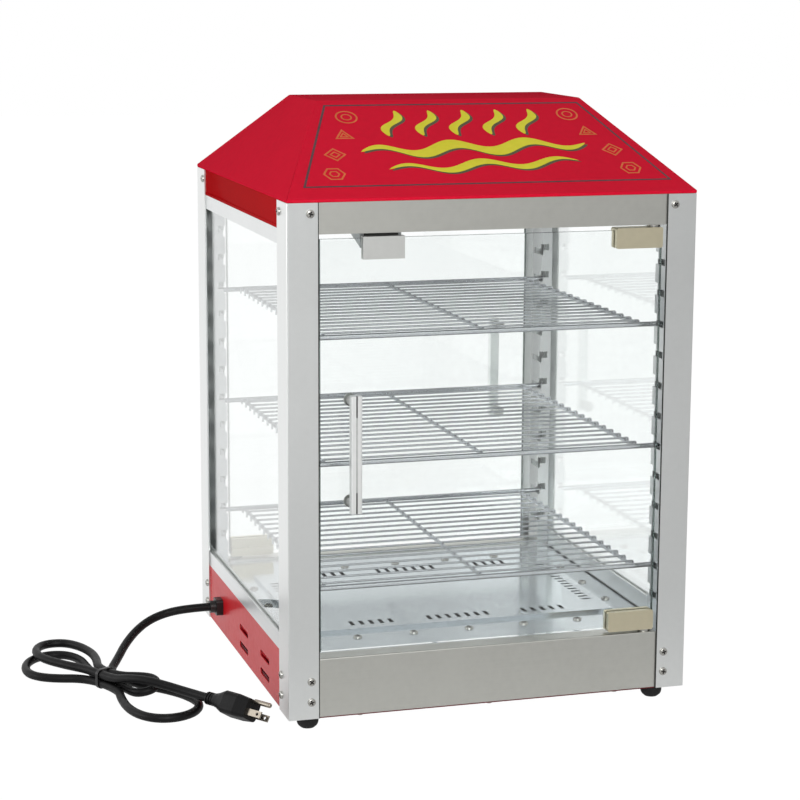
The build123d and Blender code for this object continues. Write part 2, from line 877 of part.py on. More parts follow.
def switch_housing():
    """Snap-in switch body with its bezel, rocker pocket and pivot holes."""
    x, y, z = switch_pivot()
    body = slab(
        (x - switch_width / 2, x + switch_width / 2),
        (panel_y - switch_depth, panel_y),
        (z - switch_height / 2, z + switch_height / 2),
    )
    rim = slab(
        (x - switch_width / 2 - bezel, x + switch_width / 2 + bezel),
        (panel_y, panel_y + 2),
        (z - switch_height / 2 - bezel, z + switch_height / 2 + bezel),
    )
    pocket = slab(
        (x - rocker_width / 2 - 0.5, x + rocker_width / 2 + 0.5),
        (panel_y - rocker_pocket, panel_y + 3),
        (z - rocker_half - 1.2, z + rocker_half + 1.2),
    )
    half = rocker_width / 2 + 1.9
    hole = rod((x - half, y, z), (x + half, y, z), 1 + pin_clearance)
    return body + rim - pocket - hole


def switch_rocker():
    """Rocker with a dished face on its two pivots, resting with its lower half out."""
    x, y, z = switch_pivot()
    h = rocker_half
    outline = Polyline((-5, -5), (0.5, -h), (4, -h), (2.6, 0), (4, h), (0.5, h), (-5, 5), (-5, -5))
    section = Plane.YZ * make_face(outline)
    body = extrude(section, rocker_width / 2, both=True)
    pins = rod((-rocker_width / 2 - 1.6, 0, 0), (rocker_width / 2 + 1.6, 0, 0), 1)
    return Pos(x, y, z) * Rot(rocker_tilt, 0, 0) * (body + pins)


def terminal_block():
    """Four-way terminal block on the bottom pan."""
    low = base_z + 2 * sheet
    x = terminal_inset_x - half_x
    y = half_y - terminal_inset_y
    half = terminal_length / 2
    block = slab((x - half, x + half), (y - 9, y + 9), (low, low + 7))
    ridge = slab((x - half, x + half), (y - 5, y + 5), (low + 7, low + 16))
    block = block + ridge
    pitch = terminal_length / terminal_poles
    for i in range(terminal_poles):
        pole_x = x + (i - (terminal_poles - 1) / 2) * pitch
        block = block - rod((pole_x, y, low + 8), (pole_x, y, low + 17), 3)
    return block


# Supply cord
def corner_radii(points):
    """Arc radius at each inner point: 0.45 of the shorter run over the tangent of half the turn."""
    radii = []
    for a, b, c in zip(points, points[1:], points[2:]):
        first = Vector(*b) - Vector(*a)
        second = Vector(*c) - Vector(*b)
        turn = first.get_angle(second)
        radii.append(0.45 * min(first.length, second.length) / tan(radians(turn) / 2))
    return radii


def cord_along(points, name):
    """A round cord along straight runs joined by tangent arcs."""
    radii = corner_radii(points)
    path = FilletPolyline(*points, radius=radii)
    start = Plane(origin=points[0], z_dir=Vector(*points[1]) - Vector(*points[0]))
    tube = sweep(start * Circle(cord_radius), path=path)
    ratio = tube.volume / (path.length * pi * cord_radius**2)
    print(name, "length", round(path.length, 1), "least radius", round(min(radii), 1))
    print(name, "volume ratio", round(ratio, 4))
    print(name, "radii", [round(r, 1) for r in radii])
    return tube


hank_plane = Plane(
    origin=(tie_x, tie_y, 0),
    x_dir=(cos(radians(hank_turn)), sin(radians(hank_turn)), 0),
    z_dir=(0, 0, 1),
)
layer = [cord_radius + tie_sheet + fit + i * layer_step for i in range(2)]
waist = tie_width
before_plug = (107.0, 22.9, 15.2)
plug_neck = (131.7, 26.7, 14.9)


def on_hank(along, across, height):
    """A point of the hank's own frame, from the tie, in the cabinet's frame."""
    point = hank_plane.from_local_coords((along, across, height))
    return (point.X, point.Y, point.Z)


def biarc(start, start_dir, end, end_dir):
    """Two tangent arcs from one point and direction to another."""
    p0, t0, p1, t1 = (Vector(*v) for v in (start, start_dir, end, end_dir))
    span = p1 - p0
    both = t0 + t1
    bend = 2 * (1 - t0.dot(t1))
    reach = span.length / 2 if bend > 1e-6 else span.dot(span) / (2 * span.dot(both))
    middle = (p0 + p1 + (t0 - t1) * reach) * 0.5
    chord = middle - p0
    joint = chord * (2 * chord.dot(t0) / chord.dot(chord)) - t0
    return [TangentArc(p0, middle, tangent=t0), TangentArc(middle, p1, tangent=joint)]


def hank_lobe(side, reach, half_width, centre, way, enter, leave):
    """One end loop: out of the waist, a half turn, and back into the waist."""
    out = (side, 0, 0)
    back = (-side, 0, 0)
    widest = side * (reach - half_width)
    start = (side * waist, enter[0], enter[1])
    near = (widest, centre + way * half_width, enter[1])
    far = (widest, centre - way * half_width, leave[1])
    end = (side * waist, leave[0], leave[1])
    return biarc(start, out, near, out) + biarc(near, out, far, back) + biarc(far, back, end, back)


def hank_path():
    """Two loops each way from the tie, as one line, in the hank's own frame."""
    half = strand_step / 2
    strands = (
        (2 * strand_step, layer[0]),
        (-half, layer[0]),
        (half, layer[0]),
        (half, layer[1]),
        (-half, layer[1]),
    )
    edges = []
    for lobe, enter, leave in zip(hank_lobes, strands, strands[1:]):
        across = lobe[0] * waist
        edges += hank_lobe(*lobe, enter, leave)
        edges += [Line((across, *leave), (-across, *leave))]
    return Wire([e.edge() if hasattr(e, "edge") else e for e in edges])


def least_gap(path, diameter):
    """Least gap between two stretches of a wound cord, from points along it."""
    count = int(ceil(path.length / 2.5))
    points = [path.position_at(i / count) for i in range(count + 1)]
    apart = int(ceil(3.2 * diameter / 2.5))
    least = None
    for i, a in enumerate(points):
        for b in points[i + apart:]:
            gap = (a - b).length - diameter
            least = gap if least is None else min(least, gap)
    return least


def cord_hank():
    """The tied loops as one unbroken tube."""
    path = hank_path()
    start = Plane(origin=path.position_at(0), z_dir=path.tangent_at(0))
    tube = sweep(start * Circle(cord_radius), path=path)
    ratio = tube.volume / (path.length * pi * cord_radius**2)
    gap = least_gap(path, cord_diameter)
    print("cord_hank length", round(path.length, 1), "least self-gap", round(gap, 2))
    print("cord_hank volume ratio", round(ratio, 4))
    return hank_plane.location * tube


def cord_from_relief():
    """From the strain relief down to the floor and up to the tie."""
    z = base_z + relief_height
    start = -panel_x - relief_collar_depth - relief_nose
    end = on_hank(waist, 2 * strand_step, layer[0])
    before = on_hank(waist - 24, 2 * strand_step, layer[0])
    points = [
        (start, relief_y, z),
        (start - 22, relief_y, z),
        (start - 45, relief_y + 3, z - 3.5),
        (start - 65, relief_y - 1, z - 9),
        (start - 82, relief_y - 14, z - 16),
        (start - 97, relief_y - 34, z - 24),
        (start - 108, relief_y - 56, z - 31),
        before,
        end,
    ]
    return cord_along(points, "cord_from_relief")


def plug_lead():
    """From the top of the hank to the neck of the plug."""
    side = -strand_step / 2
    points = [
        on_hank(waist, side, layer[1]),
        on_hank(22.0, side, layer[1]),
        on_hank(41.0, -1.5, layer[1] + 4.5),
        on_hank(61.0, 5.0, layer[1] + 6.5),
        on_hank(83.0, 15.0, 18.0),
        on_hank(*before_plug),
        on_hank(*plug_neck),
    ]
    return cord_along(points, "plug_lead")


def plug_place():
    """The plug's frame: +Z towards the blades, +X across them."""
    before = Vector(*on_hank(*before_plug))
    start = Vector(*on_hank(*plug_neck))
    forward = start - before
    level = Vector(forward.X, forward.Y, 0).normalized()
    across = Vector(level.Y, -level.X, 0)
    roll = radians(plug_roll)
    x_dir = across * cos(roll) + Vector(0, 0, 1) * sin(roll)
    return Plane(origin=start, x_dir=x_dir, z_dir=forward)


def plug_body():
    """Moulded grounded plug: ribbed neck, a body that widens and narrows to its face."""
    stations = (
        (9.0, 12.0, 12.0, 5.6),
        (17.0, 17.0, 15.0, 5.0),
        (28.0, plug_width, plug_thickness, 5.0),
        (44.0, plug_width, plug_thickness, 5.0),
        (plug_length, plug_width * 0.78, plug_thickness * 0.9, 4.0),
    )
    sections = [Pos(0, 0, z) * RectangleRounded(w, h, r) for z, w, h, r in stations]
    body = loft([s.face() for s in sections], ruled=True)
    neck = Cylinder(plug_neck_radius - 1, 10, align=(Align.CENTER, Align.CENTER, Align.MIN))
    for i in range(3):
        ring = Cylinder(plug_neck_radius, 1.8, align=(Align.CENTER, Align.CENTER, Align.MIN))
        neck = neck + Pos(0, 0, 0.6 + i * 3.2) * ring
    return plug_place().location * (body + neck)


def plug_prongs():
    """Two flat blades and the round ground pin, seated on the plug's face."""
    place = plug_place().location
    solids = []
    for side in (-1, 1):
        x = side * blade_spacing / 2
        blade = slab(
            (x - blade_thickness / 2, x + blade_thickness / 2),
            (-blade_width / 2 + 3, blade_width / 2 + 3),
            (plug_length, plug_length + blade_length),
        )
        hole = rod((x - 2, 3, plug_length + 13), (x + 2, 3, plug_length + 13), 1.6)
        solids.append(place * (blade - hole))
    y = 3 - ground_offset
    tip = plug_length + ground_length
    ground = rod((0, y, plug_length), (0, y, tip), ground_radius)
    rim = ground.edges().sort_by(Axis.Z)[-1:]
    solids.append(place * fillet(rim, ground_radius * 0.7))
    return solids


def cord_tie():
    """Band round the waist of the hank."""
    around = cord_radius + fit
    width = strand_step + 2 * around
    height = layer_step + 2 * around
    inner = RectangleRounded(width, height, around)
    outer = RectangleRounded(width + 2 * tie_sheet, height + 2 * tie_sheet, around + tie_sheet)
    section = Plane.YZ * Pos(0, layer[0] + layer_step / 2) * (outer - inner)
    return hank_plane.location * extrude(section, tie_width / 2, both=True)


def strain_relief():
    """Snap-in strain relief: barrel through the panel, square collar and round nose."""
    x = -panel_x
    z = base_z + relief_height
    half = relief_collar / 2
    collar = slab((x - relief_collar_depth, x), (relief_y - half, relief_y + half), (z - half, z + half))
    collar = fillet(collar.edges().filter_by(Axis.X), 3)
    outer = x - relief_collar_depth
    nose = rod((outer, relief_y, z), (outer - relief_nose, relief_y, z), relief_nose_radius)
    barrel = rod((x, relief_y, z), (x + relief_barrel, relief_y, z), relief_barrel_radius)
    return collar + nose + barrel


def build():
    """Make every node."""
    os.makedirs("parts", exist_ok=True)

    post = corner_post()
    save("post_front_left", post)
    save("post_front_right", mirrored(post))
    save("post_rear_left", half_turned(mirrored(post)))
    save("post_rear_right", half_turned(post))

    angle = upright()
    save("upright_front_right", angle)
    save("upright_front_left", mirrored(angle))
    save("upright_rear_left", half_turned(angle))
    save("upright_rear_right", half_turned(mirrored(angle)))

    save("base_fascia_front", base_fascia())
    save("base_fascia_rear", base_fascia(rear=True))
    save("header_front", header())
    save("header_rear", half_turned(header()))
    save("base_side_panel_left", base_side_panel(with_cord=True))
    save("base_side_panel_right", mirrored(base_side_panel()))
    save("bottom_pan", bottom_pan())
    save("feet", *rubber_foot())
    save("roof_shell", roof_shell())
    save("ceiling_panel", ceiling_panel())

    lower_channel = glass_channel(base_top, channel_lower_height, True)
    upper_channel = glass_channel(skirt_z - channel_upper_height, channel_upper_height, False)
    save("glass_channels", lower_channel, upper_channel, mirrored(lower_channel), mirrored(upper_channel))
    lower_liner = glass_gasket(base_top + channel_wall, channel_lower_height - channel_wall, True)
    upper_liner = glass_gasket(skirt_z - channel_upper_height, channel_upper_height - channel_wall, False)
    save("glass_gaskets", lower_liner, upper_liner, mirrored(lower_liner), mirrored(upper_liner))
    save("side_glass_left", side_glass())
    save("side_glass_right", mirrored(side_glass()))

    save("floor_pan", floor_pan())
    save("deck_plate", deck_plate())
    save("heater_box", heater_box())
    save("heating_element", heating_element())
    save("element_supports", *element_supports())

    save("post_screws", *[pan_screw(*place) for place in post_screw_places()])
    save("floor_screws", *[pan_screw(*place) for place in floor_screw_places()])
    save("base_edge_screws", *[pan_screw(*place) for place in edge_screw_places()])

    bushings = [hinge_bushing(), upper(hinge_bushing())]
    save("hinge_bushings", *bushings, *[half_turned(b) for b in bushings])
    save("catch_brackets", catch_bracket(), half_turned(catch_bracket()))
    save("catch_magnets", catch_magnet(), half_turned(catch_magnet()))

    blocks = [hinge_block(), upper(hinge_block())]
    for name, place in (("front", lambda s: s), ("rear", half_turned)):
        save(name + "_door_glass", place(door_glass()))
        save(name + "_hinge_blocks", *[place(b) for b in blocks])
        save(name + "_handle_bar", place(handle_bar()))
        save(name + "_handle_fixings", *[place(s) for s in handle_fixings()])
        save(name + "_strike_plate", place(strike_plate()))

    for name, notch in zip(("lower", "middle", "upper"), shelf_notches):
        save(name + "_shelf", wire_shelf(notch))

    save("thermostat_body", thermostat_body())
    save("thermostat_knob", thermostat_knob())
    save("switch_housing", switch_housing())
    save("switch_rocker", switch_rocker())
    save("terminal_block", terminal_block())

    save("strain_relief", strain_relief())
    save("cord_from_relief", cord_from_relief())
    save("cord_hank", cord_hank())
    save("plug_lead", plug_lead())
    save("cord_tie", cord_tie())
    save("plug_body", plug_body())
    save("plug_prongs", *plug_prongs())


build()
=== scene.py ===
"""Looks of a countertop warming cabinet with a glass door at the front and at the back."""

import logging
import math
from dataclasses import dataclass
from enum import Enum
from itertools import product

import bmesh
import bpy
from mathutils import Matrix, Vector


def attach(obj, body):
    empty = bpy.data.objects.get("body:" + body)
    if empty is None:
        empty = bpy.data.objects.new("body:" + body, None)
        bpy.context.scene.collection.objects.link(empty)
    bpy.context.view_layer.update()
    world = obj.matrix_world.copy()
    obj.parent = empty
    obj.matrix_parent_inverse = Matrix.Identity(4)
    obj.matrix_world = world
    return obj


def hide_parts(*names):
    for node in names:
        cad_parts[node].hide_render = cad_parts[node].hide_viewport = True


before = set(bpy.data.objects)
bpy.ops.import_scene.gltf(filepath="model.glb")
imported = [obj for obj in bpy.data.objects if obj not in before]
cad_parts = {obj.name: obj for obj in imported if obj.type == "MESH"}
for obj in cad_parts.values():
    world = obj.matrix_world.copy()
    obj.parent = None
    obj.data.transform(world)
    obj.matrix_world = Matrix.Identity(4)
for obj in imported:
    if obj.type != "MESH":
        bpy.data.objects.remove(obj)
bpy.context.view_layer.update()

log = logging.getLogger("warmer")

# One millimetre in metres.
MM = 0.001
WHITE = (1.0, 1.0, 1.0, 1.0)
# Height of each shelf's rods in millimetres.
SHELVES = {"lower": 132.6, "middle": 252.6, "upper": 372.6}

Flat = tuple[float, float]
Point = tuple[float, float, float]
Colour = tuple[float, float, float, float]
# A wire's radius and control points, and a screw's seat and direction.
Wire = tuple[float, list[Point]]
Seat = tuple[Point, Point]
Drawing = bmesh.types.BMesh
Piece = bpy.types.Object
Socket = bpy.types.NodeSocket


def srgb(red: float, green: float, blue: float) -> Colour:
    """Turn an 8-bit screen colour into the linear colour of a shader, with full alpha."""
    parts = (value / 255 for value in (red, green, blue))
    return (*(p / 12.92 if p <= 0.04045 else ((p + 0.055) / 1.055) ** 2.4 for p in parts), 1.0)


class Grain(Enum):
    """Way in which a surface was brushed or rolled, as the stretch of its noise per metre."""

    ALONG_X = (9.0, 900.0, 900.0)
    ALONG_Y = (900.0, 9.0, 900.0)
    ALONG_Z = (900.0, 900.0, 9.0)
    EVEN = (420.0, 420.0, 420.0)
    FINE = (1500.0, 1500.0, 1500.0)


class Bench:
    """Places and links the nodes of one shader tree."""

    def __init__(self, tree: bpy.types.NodeTree) -> None:
        """Take the tree to work on."""
        self.tree = tree

    @classmethod
    def cleared(cls, owner: bpy.types.ID) -> "Bench":
        """Empty the tree of a material or of the world and take it.

        Args:
            owner: The material or the world.

        Returns:
            The bench.
        """
        owner.use_nodes = True
        owner.node_tree.nodes.clear()
        return cls(owner.node_tree)

    def add(self, kind: str, inputs: dict | None = None, **settings: object) -> bpy.types.Node:
        """Add one node, set its properties, and set or link its inputs.

        Args:
            kind: The node's type name.
            inputs: Values or sockets by input name or index.
            settings: Properties of the node.

        Returns:
            The new node.
        """
        node = self.tree.nodes.new(kind)
        for name, value in settings.items():
            setattr(node, name, value)
        for name, value in (inputs or {}).items():
            if isinstance(value, bpy.types.NodeSocket):
                self.tree.links.new(value, node.inputs[name])
            else:
                node.inputs[name].default_value = value
        return node

    def blend(self, factor: object, first: object, second: object) -> Socket:
        """Mix two colours, from the first at factor 0 to the second at factor 1."""
        return self.add("ShaderNodeMix", {0: factor, 6: first, 7: second}, data_type="RGBA").outputs[2]

    def layer(self, factor: object, first: Socket, second: Socket) -> Socket:
        """Mix two shaders, from the first at factor 0 to the second at factor 1."""
        return self.add("ShaderNodeMixShader", {0: factor, 1: first, 2: second}).outputs[0]

    def work(self, operation: str, first: object, second: object = 0.0) -> Socket:
        """Work out one value from two."""
        return self.add("ShaderNodeMath", {0: first, 1: second}, operation=operation).outputs[0]

    def span(self, value: object, low: float, high: float, start: float = 0.0, end: float = 1.0) -> Socket:
        """Spread a value that runs from start to end between two limits."""
        ends = {"From Min": start, "From Max": end, "To Min": low, "To Max": high}
        return self.add("ShaderNodeMapRange", {"Value": value, **ends}).outputs[0]

    def along(self, axis: str, space: str = "Object") -> Socket:
        """Give the place along one axis."""
        place = self.add("ShaderNodeTexCoord").outputs[space]
        return self.add("ShaderNodeSeparateXYZ", {0: place}).outputs[axis]

    def relief(self, strength: float, distance: float, height: Socket) -> Socket:
        """Turn a height into a surface relief."""
        inputs = {"Strength": strength, "Distance": distance, "Height": height}
        return self.add("ShaderNodeBump", inputs).outputs[0]


class Effects:
    """Shader groups that every finish shares."""

    @staticmethod
    def start(name: str, label: str, kind: str, value: object) -> tuple[Bench, Socket, Socket]:
        """Open a group with one input and one value output.

        Args:
            name: The group's name.
            label: The input's name.
            kind: The input's socket type.
            value: The input's default.

        Returns:
            The bench, the input's socket and the place in the object.
        """
        tree = bpy.data.node_groups.new(name, "ShaderNodeTree")
        tree.interface.new_socket(label, in_out="INPUT", socket_type=kind).default_value = value
        tree.interface.new_socket("Value", in_out="OUTPUT", socket_type="NodeSocketFloat")
        bench = Bench(tree)
        place = bench.add("ShaderNodeTexCoord").outputs["Object"]
        return bench, bench.add("NodeGroupInput").outputs[label], place

    @classmethod
    def grain(cls) -> bpy.types.NodeTree:
        """Fine noise stretched along the way that a sheet was brushed.

        Returns:
            The group with the input Stretch and the output Value.
        """
        if "brushed grain" in bpy.data.node_groups:
            return bpy.data.node_groups["brushed grain"]
        bench, stretch, place = cls.start("brushed grain", "Stretch", "NodeSocketVector", WHITE[:3])
        reach = bench.add("ShaderNodeVectorMath", {0: place, 1: stretch}, operation="MULTIPLY").outputs[0]
        inputs = {"Vector": reach, "Scale": 1.0, "Detail": 3.0, "Roughness": 0.7}
        noise = bench.add("ShaderNodeTexNoise", inputs)
        bench.add("NodeGroupOutput", {"Value": noise.outputs[0]})
        return bench.tree

    @classmethod
    def marks(cls) -> bpy.types.NodeTree:
        """Soft broad patches from handling and cleaning.

        Returns:
            The group with the input Size and the output Value.
        """
        if "handling marks" in bpy.data.node_groups:
            return bpy.data.node_groups["handling marks"]
        bench, size, place = cls.start("handling marks", "Size", "NodeSocketFloat", 12.0)
        inputs = {"Vector": place, "Scale": size, "Detail": 4.0, "Distortion": 0.6}
        broad = bench.add("ShaderNodeTexNoise", inputs)
        fine = bench.add("ShaderNodeTexNoise", {"Vector": place, "Scale": 160.0, "Detail": 2.0})
        both = bench.work("MULTIPLY", broad.outputs[0], fine.outputs[0])
        bench.add("NodeGroupOutput", {"Value": bench.span(both, 0.0, 1.0, 0.12, 0.42)})
        return bench.tree


@dataclass(frozen=True)
class Finish:
    """What every finish has: its name, its colour and how rough it is."""

    name: str
    colour: Colour
    roughness: float

    def toned(self, share: float) -> Colour:
        """Give the colour with each part times a share."""
        return (*(part * share for part in self.colour[:3]), 1.0)

    def grain(self, bench: Bench, way: Grain) -> Socket:
        """Add the fine grain."""
        return bench.add("ShaderNodeGroup", {"Stretch": way.value}, node_tree=Effects.grain()).outputs[0]

    def beyond(self, bench: Bench, limit: float) -> Socket:
        """Give 1 further than a limit to either side along X, in metres, and 0 within it."""
        return bench.work("GREATER_THAN", bench.work("ABSOLUTE", bench.along("X")), limit)

    def material(self) -> bpy.types.Material:
        """Give the finish's material, made once.

        Returns:
            The material.
        """
        if self.name in bpy.data.materials:
            return bpy.data.materials[self.name]
        made = bpy.data.materials.new(self.name)
        bench = Bench.cleared(made)
        marks = bench.add("ShaderNodeGroup", {"Size": 12.0}, node_tree=Effects.marks()).outputs[0]
        bench.add("ShaderNodeOutputMaterial", {"Surface": self.shader(bench, marks)})
        return made

    def shader(self, bench: Bench, marks: Socket) -> Socket:
        """Make the shader. Each kind of finish has its own."""
        raise NotImplementedError


@dataclass(frozen=True)
class Metal(Finish):
    """Bare metal, brushed, rolled or plated. A post also has a thin dark line of painted shade along its
    inner edge, for the gap by the door.
    """

    way: Grain = Grain.EVEN
    relief: float = 0.08
    depth: float = 0.0003
    shade: float = 0.9
    spread: float = 0.2
    # Limit along X and dark colour: nearer the middle than the limit the metal is dark, as painted shade of
    # the gap between door glass and post.
    painted_shade_line: float = 0.0
    dark: Colour = (0.05, 0.05, 0.048, 1.0)

    def shader(self, bench: Bench, marks: Socket) -> Socket:
        """Make the metal.

        Args:
            bench: The material's bench.
            marks: The handling marks.

        Returns:
            The shader's socket.
        """
        grain = self.grain(bench, self.way)
        skin = bench.blend(bench.work("MULTIPLY", grain, marks), self.colour, self.toned(self.shade))
        # Painted shade: nearer the middle than the limit, the colour turns dark.
        if self.painted_shade_line:
            skin = bench.blend(self.beyond(bench, self.painted_shade_line), self.dark, skin)
        least, most = self.roughness * (1 - self.spread), self.roughness * (1 + self.spread)
        inputs = {
            "Base Color": skin,
            "Metallic": 1.0,
            "Roughness": bench.span(grain, least, most),
            "Normal": bench.relief(self.relief, self.depth, grain),
        }
        return bench.add("ShaderNodeBsdfPrincipled", inputs).outputs[0]


@dataclass(frozen=True)
class Paint(Finish):
    """Sprayed or powder paint on sheet. Where it has an outer limit, the inside is bare metal."""

    metallic: float = 0.0
    shade: float = 0.94
    specular: float = 0.5
    mirror: float = 0.0
    polish: float = 0.14
    peel: float = 0.04
    depth: float = 0.0002
    worn: float = 0.08
    outer: float = 0.0
    bare: Colour = (0.5, 0.52, 0.52, 1.0)
    bare_metallic: float = 0.8

    def shader(self, bench: Bench, marks: Socket) -> Socket:
        """Make the paint with its share of mirror gloss.

        Args:
            bench: The material's bench.
            marks: The handling marks.

        Returns:
            The shader's socket.
        """
        skin: Socket = bench.blend(marks, self.colour, self.toned(self.shade))
        metallic: float | Socket = self.metallic
        if self.outer:
            side = self.beyond(bench, self.outer)
            skin = bench.blend(side, self.bare, skin)
            metallic = bench.span(side, self.bare_metallic, self.metallic)
        relief = bench.relief(self.peel, self.depth, self.grain(bench, Grain.EVEN))
        inputs = {
            "Base Color": skin,
            "Metallic": metallic,
            "Roughness": bench.span(marks, self.roughness, self.roughness + self.worn),
            "Specular IOR Level": self.specular,
            "Normal": relief,
        }
        paint = bench.add("ShaderNodeBsdfPrincipled", inputs).outputs[0]
        inputs = {"Color": WHITE, "Roughness": self.polish, "Normal": relief}
        gloss = bench.add("ShaderNodeBsdfAnisotropic", inputs).outputs[0]
        return bench.layer(self.mirror, paint, gloss)


@dataclass(frozen=True)
class Moulding(Finish):
    """Moulded plastic, rubber or printing ink."""

    grit: float = 0.1
    depth: float = 0.0002
    shade: float = 0.8
    worn: float = 0.12
    specular: float = 0.5

    def shader(self, bench: Bench, marks: Socket) -> Socket:
        """Make the moulding.

        Args:
            bench: The material's bench.
            marks: The handling marks.

        Returns:
            The shader's socket.
        """
        inputs = {
            "Base Color": bench.blend(marks, self.colour, self.toned(self.shade)),
            "Roughness": bench.span(marks, self.roughness, self.roughness + self.worn),
            "Specular IOR Level": self.specular,
            "Normal": bench.relief(self.grit, self.depth, self.grain(bench, Grain.FINE)),
        }
        return bench.add("ShaderNodeBsdfPrincipled", inputs).outputs[0]


@dataclass(frozen=True)
class Glass(Finish):
    """Clear pane glass with a trace of wiping marks and, on a door, a dark band along its ground side edges:
    the green of the glass's edge and painted shade of the gap by the post.
    """

    shade: float = 0.97
    worn: float = 0.02
    index: float = 1.5
    # Half width along X beyond which a door pane is dark: partly the green of its edge, partly painted shade
    # of the gap by the post.
    edge: float = 0.0
    edge_green_and_gap_shade: Colour = (0.03, 0.045, 0.04, 1.0)

    def shader(self, bench: Bench, marks: Socket) -> Socket:
        """Make the glass, which is plain and clear to a shadow ray.

        Args:
            bench: The material's bench.
            marks: The handling marks.

        Returns:
            The shader's socket.
        """
        skin = bench.blend(marks, self.colour, self.toned(self.shade))
        # Beyond the limit the pane turns dark: the green of its edge and painted shade.
        if self.edge:
            skin = bench.blend(self.beyond(bench, self.edge), skin, self.edge_green_and_gap_shade)
        inputs = {
            "Base Color": skin,
            "Roughness": bench.span(marks, self.roughness, self.roughness + self.worn),
            "IOR": self.index,
            "Metallic": 0.0,
            "Transmission Weight": 1.0,
        }
        pane = bench.add("ShaderNodeBsdfPrincipled", inputs).outputs[0]
        clear = bench.add("ShaderNodeBsdfTransparent", {"Color": self.colour}).outputs[0]
        return bench.layer(bench.add("ShaderNodeLightPath").outputs["Is Shadow Ray"], pane, clear)


# Posts carry a thin dark line of painted shade along their inner edges, for the gap by the door.
POST = Metal("post steel", srgb(224, 226, 225), 0.3, way=Grain.ALONG_Z, relief=0.04, shade=0.95, painted_shade_line=0.1709)
STAINLESS = Metal("stainless fascia", srgb(194, 194, 188), 0.34, way=Grain.ALONG_X)
RED = Paint("red gloss paint", srgb(196, 16, 22), 0.4, specular=0.0, mirror=0.012)
BASE_RED = Paint("base panel paint", srgb(222, 12, 30), 0.4, specular=0.1, mirror=0.085, outer=0.1974)
TAB_RED = Paint("vent tab paint", srgb(214, 30, 44), 0.5, specular=0.1)
ROOF_RED = Paint("roof red paint", srgb(236, 14, 52), 0.4, specular=0.0, mirror=0.01)
# The base's red paint darkened as painted shade, for the bottom pan seen through the vents and for the
# fascias' lower edges.
SHADED_BASE_RED = Paint("base red in painted shade", srgb(104, 20, 28), 0.45, specular=0.2)
FLOOR_STEEL = Metal("floor stainless", srgb(198, 204, 208), 0.15, way=Grain.ALONG_X)
UPRIGHT = Metal("upright stainless", srgb(200, 202, 202), 0.36, way=Grain.ALONG_Z)
GALVANISED = Metal("galvanised sheet", srgb(186, 190, 190), 0.46, shade=0.82)
SCREW = Metal("screw plating", srgb(176, 175, 170), 0.24, relief=0.03)
FIXING = Paint("handle fixing nickel", srgb(196, 197, 194), 0.3, metallic=0.2)
CHROME = Metal("shelf chrome", srgb(184, 187, 190), 0.2, relief=0.02)
RAIL = Metal("satin aluminium", srgb(222, 224, 224), 0.32, way=Grain.ALONG_Y)
BAR = Metal("handle aluminium", srgb(240, 241, 240), 0.42, way=Grain.ALONG_Z, relief=0.04)
HINGE = Metal("hinge block plating", srgb(208, 200, 174), 0.36, way=Grain.ALONG_X)
STRIKE = Metal("strike plate", srgb(206, 207, 204), 0.4)
PANE = Glass("clear pane", (0.965, 0.985, 0.98, 1.0), 0.004)
# A door pane is dark beyond this limit along X: the green of the glass's edge with painted shade of the gap
# by the post.
DOOR_PANE = Glass("door pane", (0.965, 0.985, 0.98, 1.0), 0.004, edge=0.1671)
SEAL = Moulding("grey seal", srgb(206, 208, 207), 0.6)
RUBBER = Moulding("black rubber", srgb(12, 12, 13), 0.72, grit=0.2)
BLACK = Moulding("black plastic", srgb(9, 9, 10), 0.34)
# Dark colour that lines each screw's cross recess: painted shade.
RECESS_SHADE = Moulding("screw recess shade", srgb(40, 38, 36), 0.6)
MAGNET = Moulding("magnet ferrite", srgb(58, 57, 56), 0.6, grit=0.25)
FLEX = Moulding("cord jacket", srgb(7, 7, 8), 0.42, grit=0.06, specular=0.2)
SWITCH_RED = Moulding("rocker red", srgb(190, 22, 24), 0.3)
BLADE = Metal("prong brass", srgb(158, 150, 138), 0.3, relief=0.03)
ELEMENT = Metal("element sheath", srgb(120, 116, 112), 0.5)
YELLOW_INK = Moulding("yellow ink", srgb(236, 226, 20), 0.42, grit=0.02, shade=0.92)
DARK_INK = Moulding("green-black ink", srgb(70, 62, 24), 0.45, grit=0.02)
MAROON_INK = Moulding("maroon ink", srgb(78, 12, 34), 0.45, grit=0.02)
ORANGE_INK = Moulding("orange ink", srgb(236, 110, 30), 0.42, grit=0.02)
WHITE_INK = Moulding("white ink", srgb(232, 232, 228), 0.5, grit=0.02)
GREY_TRIM = Moulding("grey trim", srgb(196, 198, 196), 0.5)


